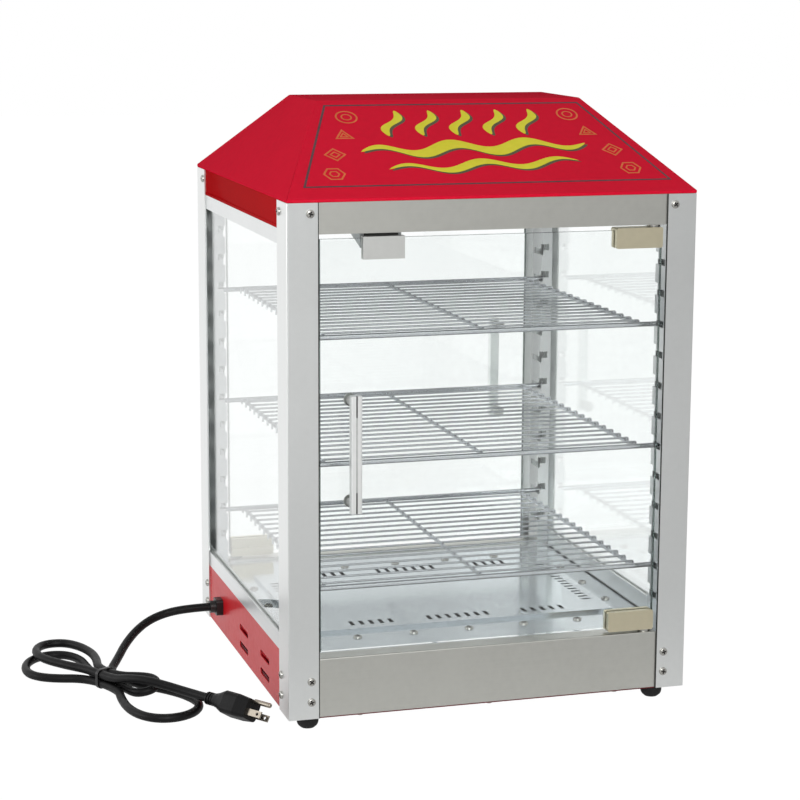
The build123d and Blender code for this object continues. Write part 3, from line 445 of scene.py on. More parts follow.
class Shop:
    """Turns meshes and curves into finished pieces in the frame."""

    @staticmethod
    def mesh(name: str, bm: Drawing, finish: Finish, body: str = "cabinet", angle: float = 32.0) -> Piece:
        """Write a mesh built in millimetres into a finished piece.

        Args:
            name: The piece's name.
            bm: The mesh, in millimetres. It is freed.
            finish: The finish.
            body: The CAD body that carries the piece.
            angle: Edges sharper than this many degrees stay sharp.

        Returns:
            The piece.
        """
        bmesh.ops.scale(bm, vec=(MM, MM, MM), verts=bm.verts)
        data = bpy.data.meshes.new(name)
        bm.to_mesh(data)
        bm.free()
        data.shade_smooth()
        data.set_sharp_from_angle(angle=math.radians(angle))
        return Shop.piece(name, data, finish, body)

    @staticmethod
    def thing(name: str, data: bpy.types.ID) -> Piece:
        """Put a mesh, a curve, a lamp or the camera in the scene.

        Args:
            name: The object's name.
            data: What it shows.

        Returns:
            The object.
        """
        made = bpy.data.objects.new(name, data)
        bpy.context.scene.collection.objects.link(made)
        return made

    @staticmethod
    def piece(name: str, data: bpy.types.ID, finish: Finish, body: str) -> Piece:
        """Finish a mesh or a curve and let it ride on its body.

        Args:
            name: The piece's name.
            data: The mesh or the curve.
            finish: The finish.
            body: The CAD body that carries the piece.

        Returns:
            The piece.
        """
        data.materials.append(finish.material())
        made = Shop.thing(name, data)
        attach(made, body)
        log.info("made %s", made.name)
        return made

    @staticmethod
    def plate(bm: Drawing, corner: Point, other: Point, edge: float) -> None:
        """Add a plate with softened edges to a mesh.

        Args:
            bm: The mesh, in millimetres.
            corner: One corner.
            other: The corner opposite.
            edge: The width of the softened edge.
        """
        size = [abs(b - a) for a, b in zip(corner, other)]
        middle = [(a + b) / 2 for a, b in zip(corner, other)]
        spot = Matrix.Translation(middle) @ Matrix.Diagonal((*size, 1.0))
        verts = bmesh.ops.create_cube(bm, size=1.0, matrix=spot)["verts"]
        edges = list(dict.fromkeys(e for v in verts for e in v.link_edges))
        bmesh.ops.bevel(bm, geom=edges, offset=edge, segments=2, profile=0.5, affect="EDGES", material=-1)

    @staticmethod
    def turned(profile: list[Flat], steps: int) -> Drawing:
        """Spin a profile round +Z.

        Args:
            profile: Radius and height of each point, in millimetres.
            steps: Number of facets round.

        Returns:
            The turned mesh.
        """
        bm = bmesh.new()
        verts = [bm.verts.new((radius, 0.0, height)) for radius, height in profile]
        edges = [bm.edges.new(pair) for pair in zip(verts, verts[1:])]
        axis = {"cent": (0, 0, 0), "axis": (0, 0, 1)}
        bmesh.ops.spin(bm, geom=verts + edges, angle=math.tau, steps=steps, use_merge=True, **axis)
        bmesh.ops.remove_doubles(bm, verts=bm.verts, dist=1e-4)
        bmesh.ops.recalc_face_normals(bm, faces=bm.faces)
        return bm

    @staticmethod
    def tubes(
        name: str, lines: list[Wire], finish: Finish, body: str, sides: int = 3, steps: int = 5
    ) -> Piece:
        """Make round wires along smooth lines.

        Args:
            name: The piece's name.
            lines: Radius in millimetres and control points of each wire.
            finish: The finish.
            body: The CAD body that carries the piece.
            sides: Roundness of the section.
            steps: Smoothness between two control points.

        Returns:
            The piece.
        """
        data = bpy.data.curves.new(name, "CURVE")
        data.dimensions = "3D"
        # Each point holds the wire's radius, so the depth is 1.
        data.bevel_depth = 1.0
        data.bevel_resolution = sides
        data.resolution_u = steps
        data.use_fill_caps = True
        for radius, points in lines:
            line = data.splines.new("NURBS")
            line.points.add(len(points) - 1)
            for spot, point in zip(line.points, points):
                spot.co = (*(c * MM for c in point), 1.0)
                spot.radius = radius * MM
            line.order_u = 3
            line.use_endpoint_u = True
        return Shop.piece(name, data, finish, body)


@dataclass
class Eye:
    """The camera of the photograph."""

    position: Point = (-0.680, -2.167, 0.706)
    turn: float = -16.62
    tilt: float = 79.25
    roll: float = 0.26
    lens: float = 101.57
    sensor: float = 36.0
    clip: Flat = (0.05, 60.0)

    def build(self) -> None:
        """Put the camera in the scene."""
        data = bpy.data.cameras.new("camera")
        data.lens = self.lens
        data.sensor_width = self.sensor
        data.clip_start, data.clip_end = self.clip
        place = Matrix.Translation(self.position)
        for degrees, axis in ((self.turn, "Z"), (self.tilt, "X"), (self.roll, "Z")):
            place @= Matrix.Rotation(math.radians(degrees), 4, axis)
        eye = Shop.thing("camera", data)
        eye.matrix_world = place
        bpy.context.scene.camera = eye


@dataclass
class SupplyCord:
    """The supply cord: from the relief to a tied hank, then to the plug.

    The loops and the lead are drawn from the tie, along and across the bundle.
    """

    diameter: float = 8.7
    length: float = 1337.0
    tie: Flat = (-341.9, -5.0)
    turn: float = -63.26
    drop: tuple[Point, ...] = (
        (-211.5, 105.0, 43.0), (-233.5, 105.0, 43.0), (-256.5, 108.0, 39.5), (-276.5, 104.0, 34.0),
        (-293.5, 91.0, 27.0), (-308.5, 71.0, 19.0), (-319.5, 49.0, 12.0),
    )
    lead: tuple[Point, ...] = (
        (22.0, -4.75, 14.6), (41.0, -1.5, 19.1), (61.0, 5.0, 21.1), (83.0, 15.0, 18.0),
        (107.0, 22.9, 15.2), (131.7, 26.7, 14.9),
    )
    low: float = 5.45
    high: float = 14.6
    sides: int = 5
    steps: int = 10
    right_loop: tuple[Flat, ...] = (
        (-20.0, 19.0), (28.0, 19.5), (58.0, 30.0), (88.0, 34.0), (116.0, 29.5), (133.0, 13.0),
        (138.0, -8.0), (130.0, -27.0), (111.0, -36.0), (84.0, -33.0), (53.0, -19.0), (30.0, -4.75),
    )
    left_loop: tuple[Flat, ...] = (
        (-20.0, -4.75), (-46.0, -34.0), (-70.0, -42.5), (-95.0, -32.0), (-112.0, -12.0),
        (-114.0, 10.0), (-101.0, 25.0), (-78.0, 26.0), (-48.0, 14.0), (-22.0, 4.75),
    )
    inner_loop: tuple[Point, ...] = (
        (15.0, 4.75, 5.45), (34.0, 2.9, 5.45), (47.0, 0.6, 5.8), (57.0, 3.0, 7.4),
        (62.5, 12.5, 9.8), (58.0, 22.0, 12.6), (47.5, 26.0, 14.9), (34.0, 20.5, 15.1),
        (17.0, 4.75, 14.6),
    )
    upper_loop: tuple[Flat, ...] = (
        (-18.0, 4.75), (-44.0, 22.0), (-67.0, 31.5), (-92.0, 35.0), (-112.0, 31.0), (-122.0, 17.0),
        (-119.0, 1.0), (-104.0, -12.0), (-80.0, -18.0), (-48.0, -13.0), (-20.0, -4.75),
    )

    def route(self) -> list[Point]:
        """Control points of the whole cord, from the relief to the plug.

        Returns:
            The points in millimetres.
        """
        hank = [(*spot, self.low) for spot in self.right_loop + self.left_loop]
        hank += self.inner_loop
        hank += [(*spot, self.high) for spot in self.upper_loop]
        x, y = self.tie
        cos, sin = math.cos(math.radians(self.turn)), math.sin(math.radians(self.turn))
        laid = [(x + a * cos - b * sin, y + a * sin + b * cos, z) for a, b, z in (*hank, *self.lead)]
        return [*self.drop, *laid]

    def build(self) -> Piece:
        """Lay the cord.

        Returns:
            The cord.
        """
        line = (self.diameter / 2, self.route())
        cord = Shop.tubes("supply_cord", [line], FLEX, "cabinet", self.sides, self.steps)
        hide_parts("cord_from_relief", "cord_hank", "plug_lead")
        return cord


@dataclass
class Roof:
    """The hipped sheet roof and its side skirts."""

    width: float = 400.0
    depth: float = 400.0
    eave: float = 501.0
    hem: float = 3.0
    rise: float = 80.0
    side_run: float = 65.0
    front_run: float = 146.0
    sheet: float = 1.2
    ledge: float = 16.0
    panel: float = 198.5
    skirt_low: float = 474.5
    skirt_end: float = 197.0
    tuck: float = 0.6
    lip: float = 10.0
    bead: float = 0.5
    bead_end: float = 161.7
    bead_height: float = 3.0
    crease: float = 1.1
    crease_turn: float = 0.3
    soft: float = 0.25
    bead_soft: float = 0.2

    def shell(self) -> None:
        """Make the folded shell."""
        bm = bmesh.new()
        base = Matrix.Translation((0, 0, self.eave + self.hem / 2))
        base @= Matrix.Diagonal((self.width, self.depth, self.hem, 1))
        bmesh.ops.create_cube(bm, size=1.0, matrix=base)
        top = max(bm.faces, key=lambda face: face.calc_center_median().z)
        risen = bmesh.ops.extrude_face_region(bm, geom=[top])["geom"]
        verts = [item for item in risen if isinstance(item, bmesh.types.BMVert)]
        narrow = (1 - 2 * self.side_run / self.width, 1 - 2 * self.front_run / self.depth, 1.0)
        bmesh.ops.translate(bm, verts=verts, vec=(0, 0, self.rise))
        bmesh.ops.scale(bm, verts=verts, vec=narrow)
        bmesh.ops.recalc_face_normals(bm, faces=bm.faces)
        under = min(bm.faces, key=lambda face: face.calc_center_median().z)
        bmesh.ops.inset_region(bm, faces=[under], thickness=self.ledge, depth=0.0)
        bmesh.ops.delete(bm, geom=[under], context="FACES")
        sharp = [e for e in bm.edges if len(e.link_faces) == 2 and e.calc_face_angle(0) > self.crease_turn]
        soft = {"offset": self.crease, "segments": 3, "profile": 0.5, "affect": "EDGES", "material": -1}
        bmesh.ops.bevel(bm, geom=sharp, **soft)
        roof = Shop.mesh("roof_shell", bm, ROOF_RED, angle=50)
        wall = roof.modifiers.new("sheet", "SOLIDIFY")
        wall.thickness = self.sheet * MM
        wall.offset = -1.0
        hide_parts("roof_shell")

    def skirts(self) -> None:
        """Make the side skirts, each with its inward lip and its outer bead."""
        bm = bmesh.new()
        low, end, hem = self.skirt_low, self.skirt_end, self.bead_end
        for side in (-1, 1):
            face = side * self.panel
            inside, lip = face - side * self.sheet, face - side * self.lip
            Shop.plate(bm, (face, -end, low), (inside, end, self.eave + self.tuck), self.soft)
            Shop.plate(bm, (face, -end, low), (lip, end, low + self.sheet), self.soft)
            top = (face + side * self.bead, hem, low + self.bead_height)
            Shop.plate(bm, (face, -hem, low), top, self.bead_soft)
        skirts = Shop.mesh("roof_skirts", bm, RED)
        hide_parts("roof_shell")


@dataclass(frozen=True)
class Stroke:
    """A swaying brush stroke that swells in its middle."""

    start: Flat
    reach: Flat
    sway: float
    waves: float
    width: float
    steps: int = 90
    taper: float = 0.55
    ripple: float = 0.2

    def drawn(self, moved: Flat) -> Drawing:
        """Draw the stroke.

        Args:
            moved: How far the drawing is moved to the right and up.

        Returns:
            The drawing.
        """
        bm = bmesh.new()
        bmesh.ops.create_grid(bm, x_segments=self.steps, y_segments=1, size=0.5)
        reach = Vector(self.reach)
        aside = Vector((-reach.y, reach.x)).normalized()
        start = Vector(self.start) + Vector(moved)
        for vert in bm.verts:
            share = vert.co.x + 0.5
            turn = math.tau * self.waves * share
            swell = self.width * max(math.sin(math.pi * share), 0.0) ** self.taper
            swell *= 1 - self.ripple + self.ripple * math.cos(turn)
            spot = start + reach * share + aside * (self.sway * math.sin(turn) + vert.co.y * swell)
            vert.co = spot.to_3d()
        return bm


@dataclass
class RoofDesign:
    """Printed design on the front slope: a thin frame, waving strokes and small shapes."""

    roof: Roof
    lift: float = 0.1
    frame_line: float = 2.2
    frame_corners: tuple[Flat, ...] = ((-180.5, 18.5), (180.5, 18.5), (129.5, 158.0), (-129.5, 158.0))
    shadow: Flat = (2.2, -2.4)
    wisp: Stroke = Stroke((-78.0, 102.0), (16.0, 44.0), 5.0, 1.0, 13.0)
    wisps: int = 5
    wisp_pitch: float = 34.0
    waves: tuple[Stroke, ...] = (
        Stroke((-112.0, 76.0), (226.0, 8.0), 7.0, 3.0, 19.0),
        Stroke((-92.0, 46.0), (190.0, 8.0), 6.0, 2.5, 12.0),
    )
    shape_radius: float = 11.0
    shape_lines: Flat = (1.7, 1.4)
    shapes: tuple[tuple[float, float, int, float], ...] = (
        (146.0, 40.0, 6, 0.0),
        (138.0, 72.0, 4, 0.0),
        (122.0, 104.0, 3, 90.0),
        (112.0, 136.0, 24, 0.0),
    )

    def slope(self) -> Matrix:
        """Turn a flat drawing to the roof's front slope, upwards from its lower edge."""
        edge = Matrix.Translation((0, -self.roof.depth / 2, self.roof.eave + self.roof.hem))
        return edge @ Matrix.Rotation(math.atan2(self.roof.rise, self.roof.front_run), 4, "X")

    def printed(self, name: str, bm: Drawing, lift: float, finish: Finish) -> None:
        """Lay a flat design drawn in the slope's own plane on the roof.

        Args:
            name: The piece's name.
            bm: The drawing, with x to the right and y up the slope.
            lift: Height over the sheet.
            finish: The ink.
        """
        bmesh.ops.transform(bm, matrix=self.slope() @ Matrix.Translation((0, 0, lift)), verts=bm.verts)
        bmesh.ops.recalc_face_normals(bm, faces=bm.faces)
        for face in bm.faces:
            if face.normal.z < 0:
                face.normal_flip()
        Shop.mesh(name, bm, finish)

    def band(self, bm: Drawing, face: bmesh.types.BMFace, width: float) -> None:
        """Cut a flat face down to a band along its outline.

        Args:
            bm: The drawing.
            face: The face.
            width: The band's width.
        """
        face.normal_update()
        ways = {"depth": 0.0, "use_boundary": True, "use_even_offset": True}
        bmesh.ops.inset_region(bm, faces=[face], thickness=width, **ways)
        bmesh.ops.delete(bm, geom=[face], context="FACES")

    def shape(self, bm: Drawing, centre: Flat, corners: int, turn: float) -> None:
        """Add the outline of a regular shape and a smaller one in it.

        Args:
            bm: The drawing.
            centre: The shape's middle.
            corners: Its number of corners.
            turn: Its turn in degrees.
        """
        for size, width in zip((self.shape_radius, self.shape_radius / 2), self.shape_lines):
            spot = Matrix.Translation((*centre, 0.0)) @ Matrix.Rotation(math.radians(turn - 90), 4, "Z")
            bmesh.ops.create_circle(bm, cap_ends=True, radius=size, segments=corners, matrix=spot)
            self.band(bm, [item for item in bm.faces if len(item.verts) == corners][-1], width)

    def build(self) -> None:
        """Print the frame, the strokes and the shapes."""
        lines = bmesh.new()
        corners = [lines.verts.new((x, y, 0.0)) for x, y in self.frame_corners]
        self.band(lines, lines.faces.new(corners), self.frame_line)
        self.printed("printed_frame", lines, self.lift, MAROON_INK)
        right, up = self.shadow
        row = [(self.wisp, self.wisp_pitch * index) for index in range(self.wisps)]
        row += [(wave, 0.0) for wave in self.waves]
        for index, (stroke, across) in enumerate(row, 1):
            shade = stroke.drawn((across + right, up))
            self.printed(f"printed_shade_{index}", shade, self.lift, DARK_INK)
            self.printed(f"printed_stroke_{index}", stroke.drawn((across, 0.0)), self.lift * 2, YELLOW_INK)
        shapes = bmesh.new()
        for across, up, sides, turn in self.shapes:
            self.shape(shapes, (-across, up), sides, turn)
            self.shape(shapes, (across, up), sides, turn)
        self.printed("printed_shapes", shapes, self.lift, ORANGE_INK)


@dataclass
class WireRack:
    """One chromed wire shelf."""

    name: str
    node: str
    body: str
    rod_z: float
    rod_y: float = 168.0
    rod_end: float = 183.5
    rod_radius: float = 2.5
    side_x: float = 156.0
    side_radius: float = 1.9
    wire_radius: float = 1.1
    wire_end: float = 159.2
    pitch: float = 20.0
    rows: int = 8
    inner: float = 80.0
    seat: float = 2.7
    corner: float = 2.6
    bent: float = 6.0

    def wire(self, y: float) -> Wire:
        """Run one wire over the rods, with its ends bent down.

        Args:
            y: The wire's place.

        Returns:
            Its radius and control points.
        """
        top, end = self.rod_z + self.seat, self.wire_end
        half = [(0.0, top), (self.inner, top), (end - self.corner, top), (end, top)]
        half += [(end, top - self.corner), (end, top - self.bent)]
        left = [(-x, y, z) for x, z in reversed(half)]
        return self.wire_radius, left + [(x, y, z) for x, z in half[1:]]

    def build(self) -> None:
        """Weld up the rack."""
        lines: list[Wire] = []
        for y in (-self.rod_y, self.rod_y):
            rod = [(self.rod_end * share, y, self.rod_z) for share in (-1.0, -0.5, 0.0, 0.5, 1.0)]
            lines.append((self.rod_radius, rod))
        for x in (-self.side_x, 0.0, self.side_x):
            rod = [(x, self.rod_y * share, self.rod_z) for share in (-1.0, 0.0, 1.0)]
            lines.append((self.side_radius, rod))
        lines += [self.wire(index * self.pitch) for index in range(-self.rows, self.rows + 1)]
        rack = Shop.tubes(self.name, lines, CHROME, self.body)
        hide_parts(self.node)


@dataclass
class Screws:
    """Pan-head screws with a cross recess. A row has its pitch or place along X and Y, and its height."""

    cross: float = 1.25
    slot: float = 0.34
    sunk: float = 0.65
    tall: float = 2.0
    dome: tuple[Flat, ...] = ((0, 0), (1, 0), (1, 0.4), (0.93, 0.68), (0.78, 0.88), (0.5, 0.98), (0, 1))
    facets: int = 24
    post_levels: Point = (31.5, 51.5, 491.0)
    post_front: Flat = (178.0, 200.0)
    post_side: Flat = (200.0, 170.0)
    floor_row: Point = (57.0, 129.0, 70.0)
    floor_side: Point = (169.0, 66.0, 70.0)
    edge_row: Point = (129.2, 193.0, 15.0)
    post_radius: float = 3.9
    floor_radius: float = 4.4
    edge_radius: float = 3.6
    first_turn: float = 20.0
    next_turn: float = 37.0

    def head(self, radius: float) -> bpy.types.Mesh:
        """Make one head, seated on its surface, pointing up.

        Args:
            radius: The head's radius.

        Returns:
            The head's mesh in millimetres.
        """
        dome = Shop.turned([(radius * out, self.tall * up) for out, up in self.dome], self.facets)
        cutter = bmesh.new()
        long, short = self.cross * radius, self.slot * radius
        depth = 2 * self.tall * self.sunk
        for size in ((long, short, depth, 1), (short, long, depth, 1)):
            spot = Matrix.Translation((0, 0, self.tall)) @ Matrix.Diagonal(size)
            bmesh.ops.create_cube(cutter, size=1.0, matrix=spot)
        # The cutter's faces line the cut cross with the dark recess colour, which is painted shade.
        for face in cutter.faces:
            face.material_index = 1
        pair = []
        for name, bm in (("screw head", dome), ("cross cutter", cutter)):
            data = bpy.data.meshes.new(name)
            bm.to_mesh(data)
            bm.free()
            for finish in (SCREW, RECESS_SHADE):
                data.materials.append(finish.material())
            pair.append(Shop.thing(name, data))
        head, cut = pair
        step = head.modifiers.new("cross", "BOOLEAN")
        step.operation = "DIFFERENCE"
        step.solver = "EXACT"
        step.use_self = True
        step.object = cut
        graph = bpy.context.evaluated_depsgraph_get()
        made = bpy.data.meshes.new_from_object(head.evaluated_get(graph))
        for used in pair:
            bpy.data.objects.remove(used)
        return made

    def group(self, name: str, node: str, places: list[Seat], radius: float) -> None:
        """Set a group of screws.

        Args:
            name: The piece's name.
            node: The CAD node that they stand for.
            places: Seat and direction of each screw.
            radius: The radius of a head.
        """
        bm = bmesh.new()
        head = self.head(radius)
        for index, (seat, way) in enumerate(places):
            known = set(bm.verts)
            bm.from_mesh(head)
            fresh = [vert for vert in bm.verts if vert not in known]
            turn = Matrix.Rotation(math.radians(self.first_turn + self.next_turn * index), 4, "Z")
            aim = Vector(way).to_track_quat("Z", "Y").to_matrix().to_4x4()
            bmesh.ops.transform(bm, matrix=Matrix.Translation(seat) @ aim @ turn, verts=fresh)
        screws = Shop.mesh(name, bm, SCREW, angle=40)
        screws.data.materials.append(RECESS_SHADE.material())
        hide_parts(node)

    def build(self) -> None:
        """Set the screws of the posts, the floor and the base's edge."""
        sides = (-1, 1)
        posts: list[Seat] = []
        for z, a, b in product(self.post_levels, sides, sides):
            posts.append(((a * self.post_front[0], b * self.post_front[1], z), (0, b, 0)))
            posts.append(((a * self.post_side[0], b * self.post_side[1], z), (a, 0, 0)))
        floor: list[Seat] = []
        edge: list[Seat] = []
        for side in sides:
            x, y, z = self.floor_row
            floor += [((x * count, side * y, z), (0, 0, 1)) for count in (-2, -1, 0, 1, 2)]
            x, y, z = self.floor_side
            floor += [((side * x, y * count, z), (0, 0, 1)) for count in (-1, 0, 1)]
            x, y, z = self.edge_row
            edge += [((x * count, side * y, z), (0, 0, -1)) for count in (-1, 0, 1)]
        self.group("post_screw_heads", "post_screws", posts, self.post_radius)
        self.group("floor_screw_heads", "floor_screws", floor, self.floor_radius)
        self.group("base_edge_screw_heads", "base_edge_screws", edge, self.edge_radius)


@dataclass
class VentTabs:
    """Short tabs pressed inwards from the upper edge of each vent in the base's sides."""

    inner: float = 197.2
    columns: Flat = (-95.0, -2.0)
    rows: Flat = (46.9, 64.9)
    length: float = 34.0
    height: float = 7.4
    depth: float = 3.4
    sheet: float = 0.8
    shallow: float = 0.35
    fullness: int = 6
    cells: tuple[int, int] = (16, 8)

    def build(self) -> None:
        """Press the tabs."""
        bm = bmesh.new()
        for side, y, z in product((-1, 1), self.columns, self.rows):
            grid = bmesh.ops.create_grid(bm, x_segments=self.cells[0], y_segments=self.cells[1], size=0.5)
            for vert in grid["verts"]:
                along, down = vert.co.x, 0.5 - vert.co.y
                ends = math.sqrt(max(0.0, 1 - (2 * along) ** self.fullness))
                reach = self.depth * (self.shallow + (1 - self.shallow) * ends)
                x = side * (self.inner - reach * math.sin(down * math.pi / 2))
                vert.co = Vector((x, y + along * self.length, z - down * self.height))
        bmesh.ops.recalc_face_normals(bm, faces=bm.faces)
        wall = Shop.mesh("vent_tabs", bm, TAB_RED).modifiers.new("sheet", "SOLIDIFY")
        wall.thickness = self.sheet * MM
        wall.offset = 0.0


@dataclass
class PanEdges:
    """Red painted lower edges of the front and rear fascias, in the base's red darkened as painted shade."""

    half: float = 169.8
    inside: float = 198.4
    outside: float = 198.85
    low: float = 15.0
    high: float = 15.9
    soft: float = 0.1

    def build(self) -> None:
        """Lay both edges."""
        bm = bmesh.new()
        for side in (-1, 1):
            corner = (-self.half, side * self.inside, self.low)
            Shop.plate(bm, corner, (self.half, side * self.outside, self.high), self.soft)
        Shop.mesh("fascia_lower_edges", bm, SHADED_BASE_RED)


@dataclass
class HandleTrim:
    """Strip set in the groove of a door's pull, black at both ends."""

    name: str
    body: str
    side: int
    x: float = -138.0
    front: float = -214.0
    sunk: float = 0.2
    deep: float = 2.4
    low: float = 213.75
    high: float = 324.25
    black: float = 20.0
    width: float = 1.4
    soft: float = 0.15

    def build(self) -> None:
        """Set the strip's three lengths."""
        x, half = self.side * self.x, self.width / 2
        near, far = self.side * (self.front + self.sunk), self.side * (self.front + self.deep)
        cuts = (self.low, self.low + self.black, self.high - self.black, self.high)
        for index, (low, high, finish) in enumerate(zip(cuts, cuts[1:], (BLACK, GREY_TRIM, BLACK)), 1):
            bm = bmesh.new()
            Shop.plate(bm, (x - half, near, low), (x + half, far, high), self.soft)
            Shop.mesh(f"{self.name}_strip_{index}", bm, finish, self.body)


@dataclass
class RearControls:
    """Printing round the thermostat knob and the switch on the rear fascia."""

    knob: Flat = (70.0, 44.0)
    switch: Flat = (125.0, 44.0)
    face: float = 198.5
    lift: float = 0.08
    ticks: int = 11
    sweep: float = 300.0
    tick_start: float = 17.6
    tick_long: Flat = (2.6, 1.6)
    tick_wide: float = 0.5
    number_ring: float = 23.4
    number_size: float = 4.4
    word_gap: float = 17.5
    word_size: float = 4.6
    knob_top: float = 13.7
    pointer_line: tuple[Point, Point] = ((-0.6, 3.0, 0.0), (0.6, 11.0, 0.18))
    pointer_soft: float = 0.05

    def on_face(self, centre: Flat, lift: float) -> Matrix:
        """Turn a flat drawing to the rear fascia, as it is read from behind."""
        x, z = centre
        return Matrix(((-1, 0, 0, x), (0, 0, 1, self.face + lift), (0, 1, 0, z), (0, 0, 0, 1)))

    def text(self, words: str, size: float, centre: Flat) -> Drawing:
        """Set words or numbers as a flat mesh on the fascia.

        Args:
            words: What is printed.
            size: Height of the type.
            centre: Place along X and height.

        Returns:
            The mesh.
        """
        data = bpy.data.curves.new(words, "FONT")
        data.body = words
        data.size = size
        data.align_x = data.align_y = "CENTER"
        typed = bpy.data.objects.new(words, data)
        flat = bpy.data.meshes.new_from_object(typed)
        bm = bmesh.new()
        bm.from_mesh(flat)
        bpy.data.objects.remove(typed)
        bmesh.ops.transform(bm, matrix=self.on_face(centre, self.lift), verts=bm.verts)
        return bm

    def dial(self) -> None:
        """Print the dial's ticks and numbers, clockwise from the lower left."""
        ticks = bmesh.new()
        for index in range(self.ticks):
            angle = math.radians(self.sweep / 2 - self.sweep * index / (self.ticks - 1))
            number, short = divmod(index, 2)
            long = self.tick_long[short]
            fresh = bmesh.ops.create_grid(ticks, x_segments=1, y_segments=1, size=0.5)["verts"]
            spot = self.on_face(self.knob, self.lift) @ Matrix.Rotation(angle, 4, "Z")
            spot @= Matrix.Translation((0, self.tick_start + long / 2, 0))
            spot @= Matrix.Diagonal((self.tick_wide, long, 1, 1))
            bmesh.ops.transform(ticks, matrix=spot, verts=fresh)
            if not short:
                x = self.knob[0] + self.number_ring * math.sin(angle)
                z = self.knob[1] + self.number_ring * math.cos(angle)
                Shop.mesh(f"dial_number_{number}", self.text(str(number), self.number_size, (x, z)), BLACK)
        Shop.mesh("dial_ticks", ticks, BLACK)

    def pointer(self) -> None:
        """Lay the white pointer line on the knob, at the dial's first tick."""
        bm = bmesh.new()
        Shop.plate(bm, *self.pointer_line, self.pointer_soft)
        turn = Matrix.Rotation(math.radians(self.sweep / 2), 4, "Z")
        bmesh.ops.transform(bm, matrix=self.on_face(self.knob, self.knob_top) @ turn, verts=bm.verts)
        Shop.mesh("knob_pointer", bm, WHITE_INK, "knob")

    def build(self) -> None:
        """Print the dial, the pointer and the switch's words."""
        self.dial()
        self.pointer()
        x, z = self.switch
        for word, height in (("ON", z + self.word_gap), ("OFF", z - self.word_gap)):
            Shop.mesh(f"switch_word_{word.lower()}", self.text(word, self.word_size, (x, height)), BLACK)


@dataclass
class Dresser:
    """Gives the CAD pieces that stay in view their finishes."""

    def table(self) -> dict[Finish, tuple[str, ...]]:
        """List the finish of every CAD piece.

        Returns:
            Node names by finish.
        """
        return {
            POST: ("post_front_left", "post_front_right", "post_rear_left", "post_rear_right"),
            STAINLESS: ("base_fascia_front", "base_fascia_rear", "header_front", "header_rear"),
            BASE_RED: ("base_side_panel_left", "base_side_panel_right"),
            RED: ("roof_shell",),
            UPRIGHT: ("upright_front_left", "upright_front_right", "upright_rear_left", "upright_rear_right"),
            FLOOR_STEEL: ("floor_pan", "deck_plate", "ceiling_panel"),
            # Bottom pan in the base's red, darkened as painted shade.
            SHADED_BASE_RED: ("bottom_pan",),
            GALVANISED: ("heater_box", "element_supports", "catch_brackets"),
            RAIL: ("glass_channels",),
            SEAL: ("glass_gaskets",),
            PANE: ("side_glass_left", "side_glass_right"),
            DOOR_PANE: ("front_door_glass", "rear_door_glass"),
            HINGE: ("front_hinge_blocks", "rear_hinge_blocks"),
            BAR: ("front_handle_bar", "rear_handle_bar"),
            STRIKE: ("front_strike_plate", "rear_strike_plate"),
            SCREW: ("post_screws", "floor_screws", "base_edge_screws", "hinge_bushings"),
            FIXING: ("front_handle_fixings", "rear_handle_fixings"),
            CHROME: ("lower_shelf", "middle_shelf", "upper_shelf"),
            MAGNET: ("catch_magnets",),
            RUBBER: ("feet",),
            BLACK: (
                "thermostat_body", "thermostat_knob", "switch_housing",
                "terminal_block", "strain_relief", "cord_tie",
            ),
            FLEX: ("plug_body", "cord_from_relief", "cord_hank", "plug_lead"),
            SWITCH_RED: ("switch_rocker",),
            BLADE: ("plug_prongs",),
            ELEMENT: ("heating_element",),
        }

    def build(self) -> None:
        """Dress every CAD piece."""
        left = set(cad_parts)
        for finish, names in self.table().items():
            for name in names:
                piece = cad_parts[name]
                left.discard(name)
                if not piece.material_slots:
                    piece.data.materials.append(finish.material())
                for slot in piece.material_slots:
                    slot.material = finish.material()
                log.info("dressed %s in %s", name, finish.name)
        if left:
            log.warning("not dressed: %s", sorted(left))


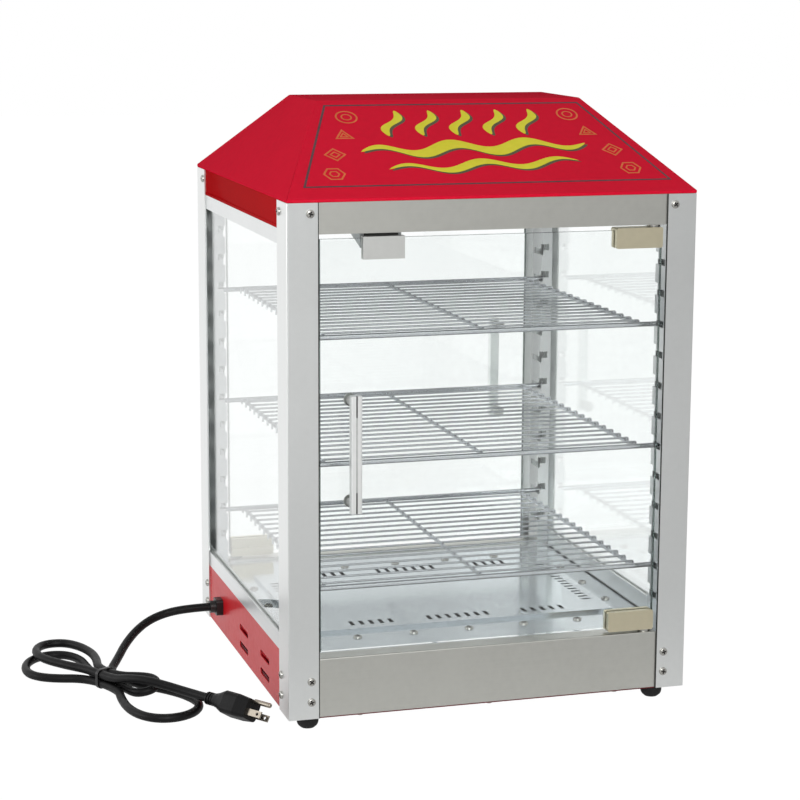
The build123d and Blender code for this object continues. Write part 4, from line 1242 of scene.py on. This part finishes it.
@dataclass
class Studio:
    """Pale floor, white surround and soft light."""

    fill: float = 0.26
    mirror: Flat = (0.7, 1.05)
    sides: Flat = (-0.9, 0.9)
    half: float = 9.0
    drop: float = 0.2
    tones: tuple[Colour, Colour] = ((0.86, 0.86, 0.86, 1.0), (0.9, 0.9, 0.9, 1.0))
    glow: float = 1.05
    shown: float = 0.95
    card: Flat = (0.15, 1.0)
    card_reach: Flat = (-0.6, 0.5)
    cloud: float = 3.0
    aim: Point = (0.0, 0.0, 0.3)
    lamps: tuple[tuple[str, Point, float, float], ...] = (
        ("key", (-0.7, -3.0, 1.5), 1.6, 46.0),
        ("left side", (-2.5, 0.3, 0.6), 1.6, 16.56),
        ("top", (0.2, -1.8, 2.2), 1.4, 3.22),
    )

    def seen(self, bench: Bench) -> tuple[Socket, Socket]:
        """Tell what the camera sees, also through glass, from what a mirror shows.

        Args:
            bench: The bench.

        Returns:
            The socket that is 1 to the camera and the one that is 1 in a mirror.
        """
        rays = bench.add("ShaderNodeLightPath").outputs
        direct = bench.work("MAXIMUM", rays["Is Camera Ray"], rays["Is Transmission Ray"])
        return direct, rays["Is Glossy Ray"]

    def world(self) -> None:
        """Make the white surround: bright where it is seen, softer where it lights."""
        world = bpy.data.worlds.new("surround")
        bpy.context.scene.world = world
        bench = Bench.cleared(world)
        direct, glossy = self.seen(bench)
        behind = bench.span(bench.along("Y", "Generated"), *self.mirror, *self.sides)
        white, mirror, fill = (
            bench.add("ShaderNodeBackground", {"Color": WHITE, "Strength": strength}).outputs[0]
            for strength in (1.0, behind, self.fill)
        )
        whole = bench.layer(direct, bench.layer(glossy, fill, mirror), white)
        bench.add("ShaderNodeOutputWorld", {"Surface": whole})

    def floor(self) -> None:
        """Lay the floor, white to the camera with only a trace of shadow."""
        bm = bmesh.new()
        bmesh.ops.create_grid(bm, x_segments=1, y_segments=1, size=self.half)
        bmesh.ops.translate(bm, verts=bm.verts, vec=(0, 0, -self.drop * MM))
        data = bpy.data.meshes.new("floor")
        bm.to_mesh(data)
        bm.free()
        made = bpy.data.materials.new("pale floor")
        bench = Bench.cleared(made)
        place = bench.add("ShaderNodeTexCoord").outputs["Object"]
        noise = bench.add("ShaderNodeTexNoise", {"Vector": place, "Scale": self.cloud}).outputs[0]
        matt = bench.add("ShaderNodeBsdfDiffuse", {"Color": bench.blend(noise, *self.tones)}).outputs[0]
        white = bench.add("ShaderNodeEmission", {"Color": WHITE, "Strength": self.glow}).outputs[0]
        direct, glossy = self.seen(bench)
        card = bench.span(bench.along("Y"), *self.card, *self.card_reach)
        shown = bench.work("MULTIPLY", direct, self.shown)
        share = bench.work("MAXIMUM", shown, bench.work("MULTIPLY", glossy, card))
        bench.add("ShaderNodeOutputMaterial", {"Surface": bench.layer(share, matt, white)})
        data.materials.append(made)
        Shop.thing("floor", data)

    def lamp(self, name: str, spot: Point, size: float, power: float) -> None:
        """Hang one soft light that looks at the cabinet.

        Args:
            name: The lamp's name.
            spot: Its place in metres.
            size: Its width and height in metres.
            power: Its power in watts.
        """
        data = bpy.data.lights.new(name, "AREA")
        data.shape = "SQUARE"
        data.size = size
        data.energy = power
        aim = (Vector(self.aim) - Vector(spot)).to_track_quat("-Z", "Y").to_matrix().to_4x4()
        Shop.thing(name, data).matrix_world = Matrix.Translation(spot) @ aim

    def build(self) -> None:
        """Set up the surround, the floor, the lamps and the plain view."""
        bpy.context.scene.view_settings.view_transform = "Standard"
        self.world()
        self.floor()
        for lamp in self.lamps:
            self.lamp(*lamp)


def main() -> None:
    """Build the looks, piece by piece."""
    logging.basicConfig(level=logging.INFO, format="%(relativeCreated)d %(message)s")
    Eye().build()
    supply = SupplyCord()
    cord = supply.build()
    Dresser().build()
    roof = Roof()
    roof.shell()
    roof.skirts()
    RoofDesign(roof).build()
    for name, level in SHELVES.items():
        WireRack(f"{name}_rack", f"{name}_shelf", f"shelf_{name}", level).build()
    Screws().build()
    VentTabs().build()
    PanEdges().build()
    HandleTrim("front_pull", "front_door", 1).build()
    HandleTrim("rear_pull", "rear_door", -1).build()
    RearControls().build()
    Studio().build()


if __name__ == "__main__":
    main()
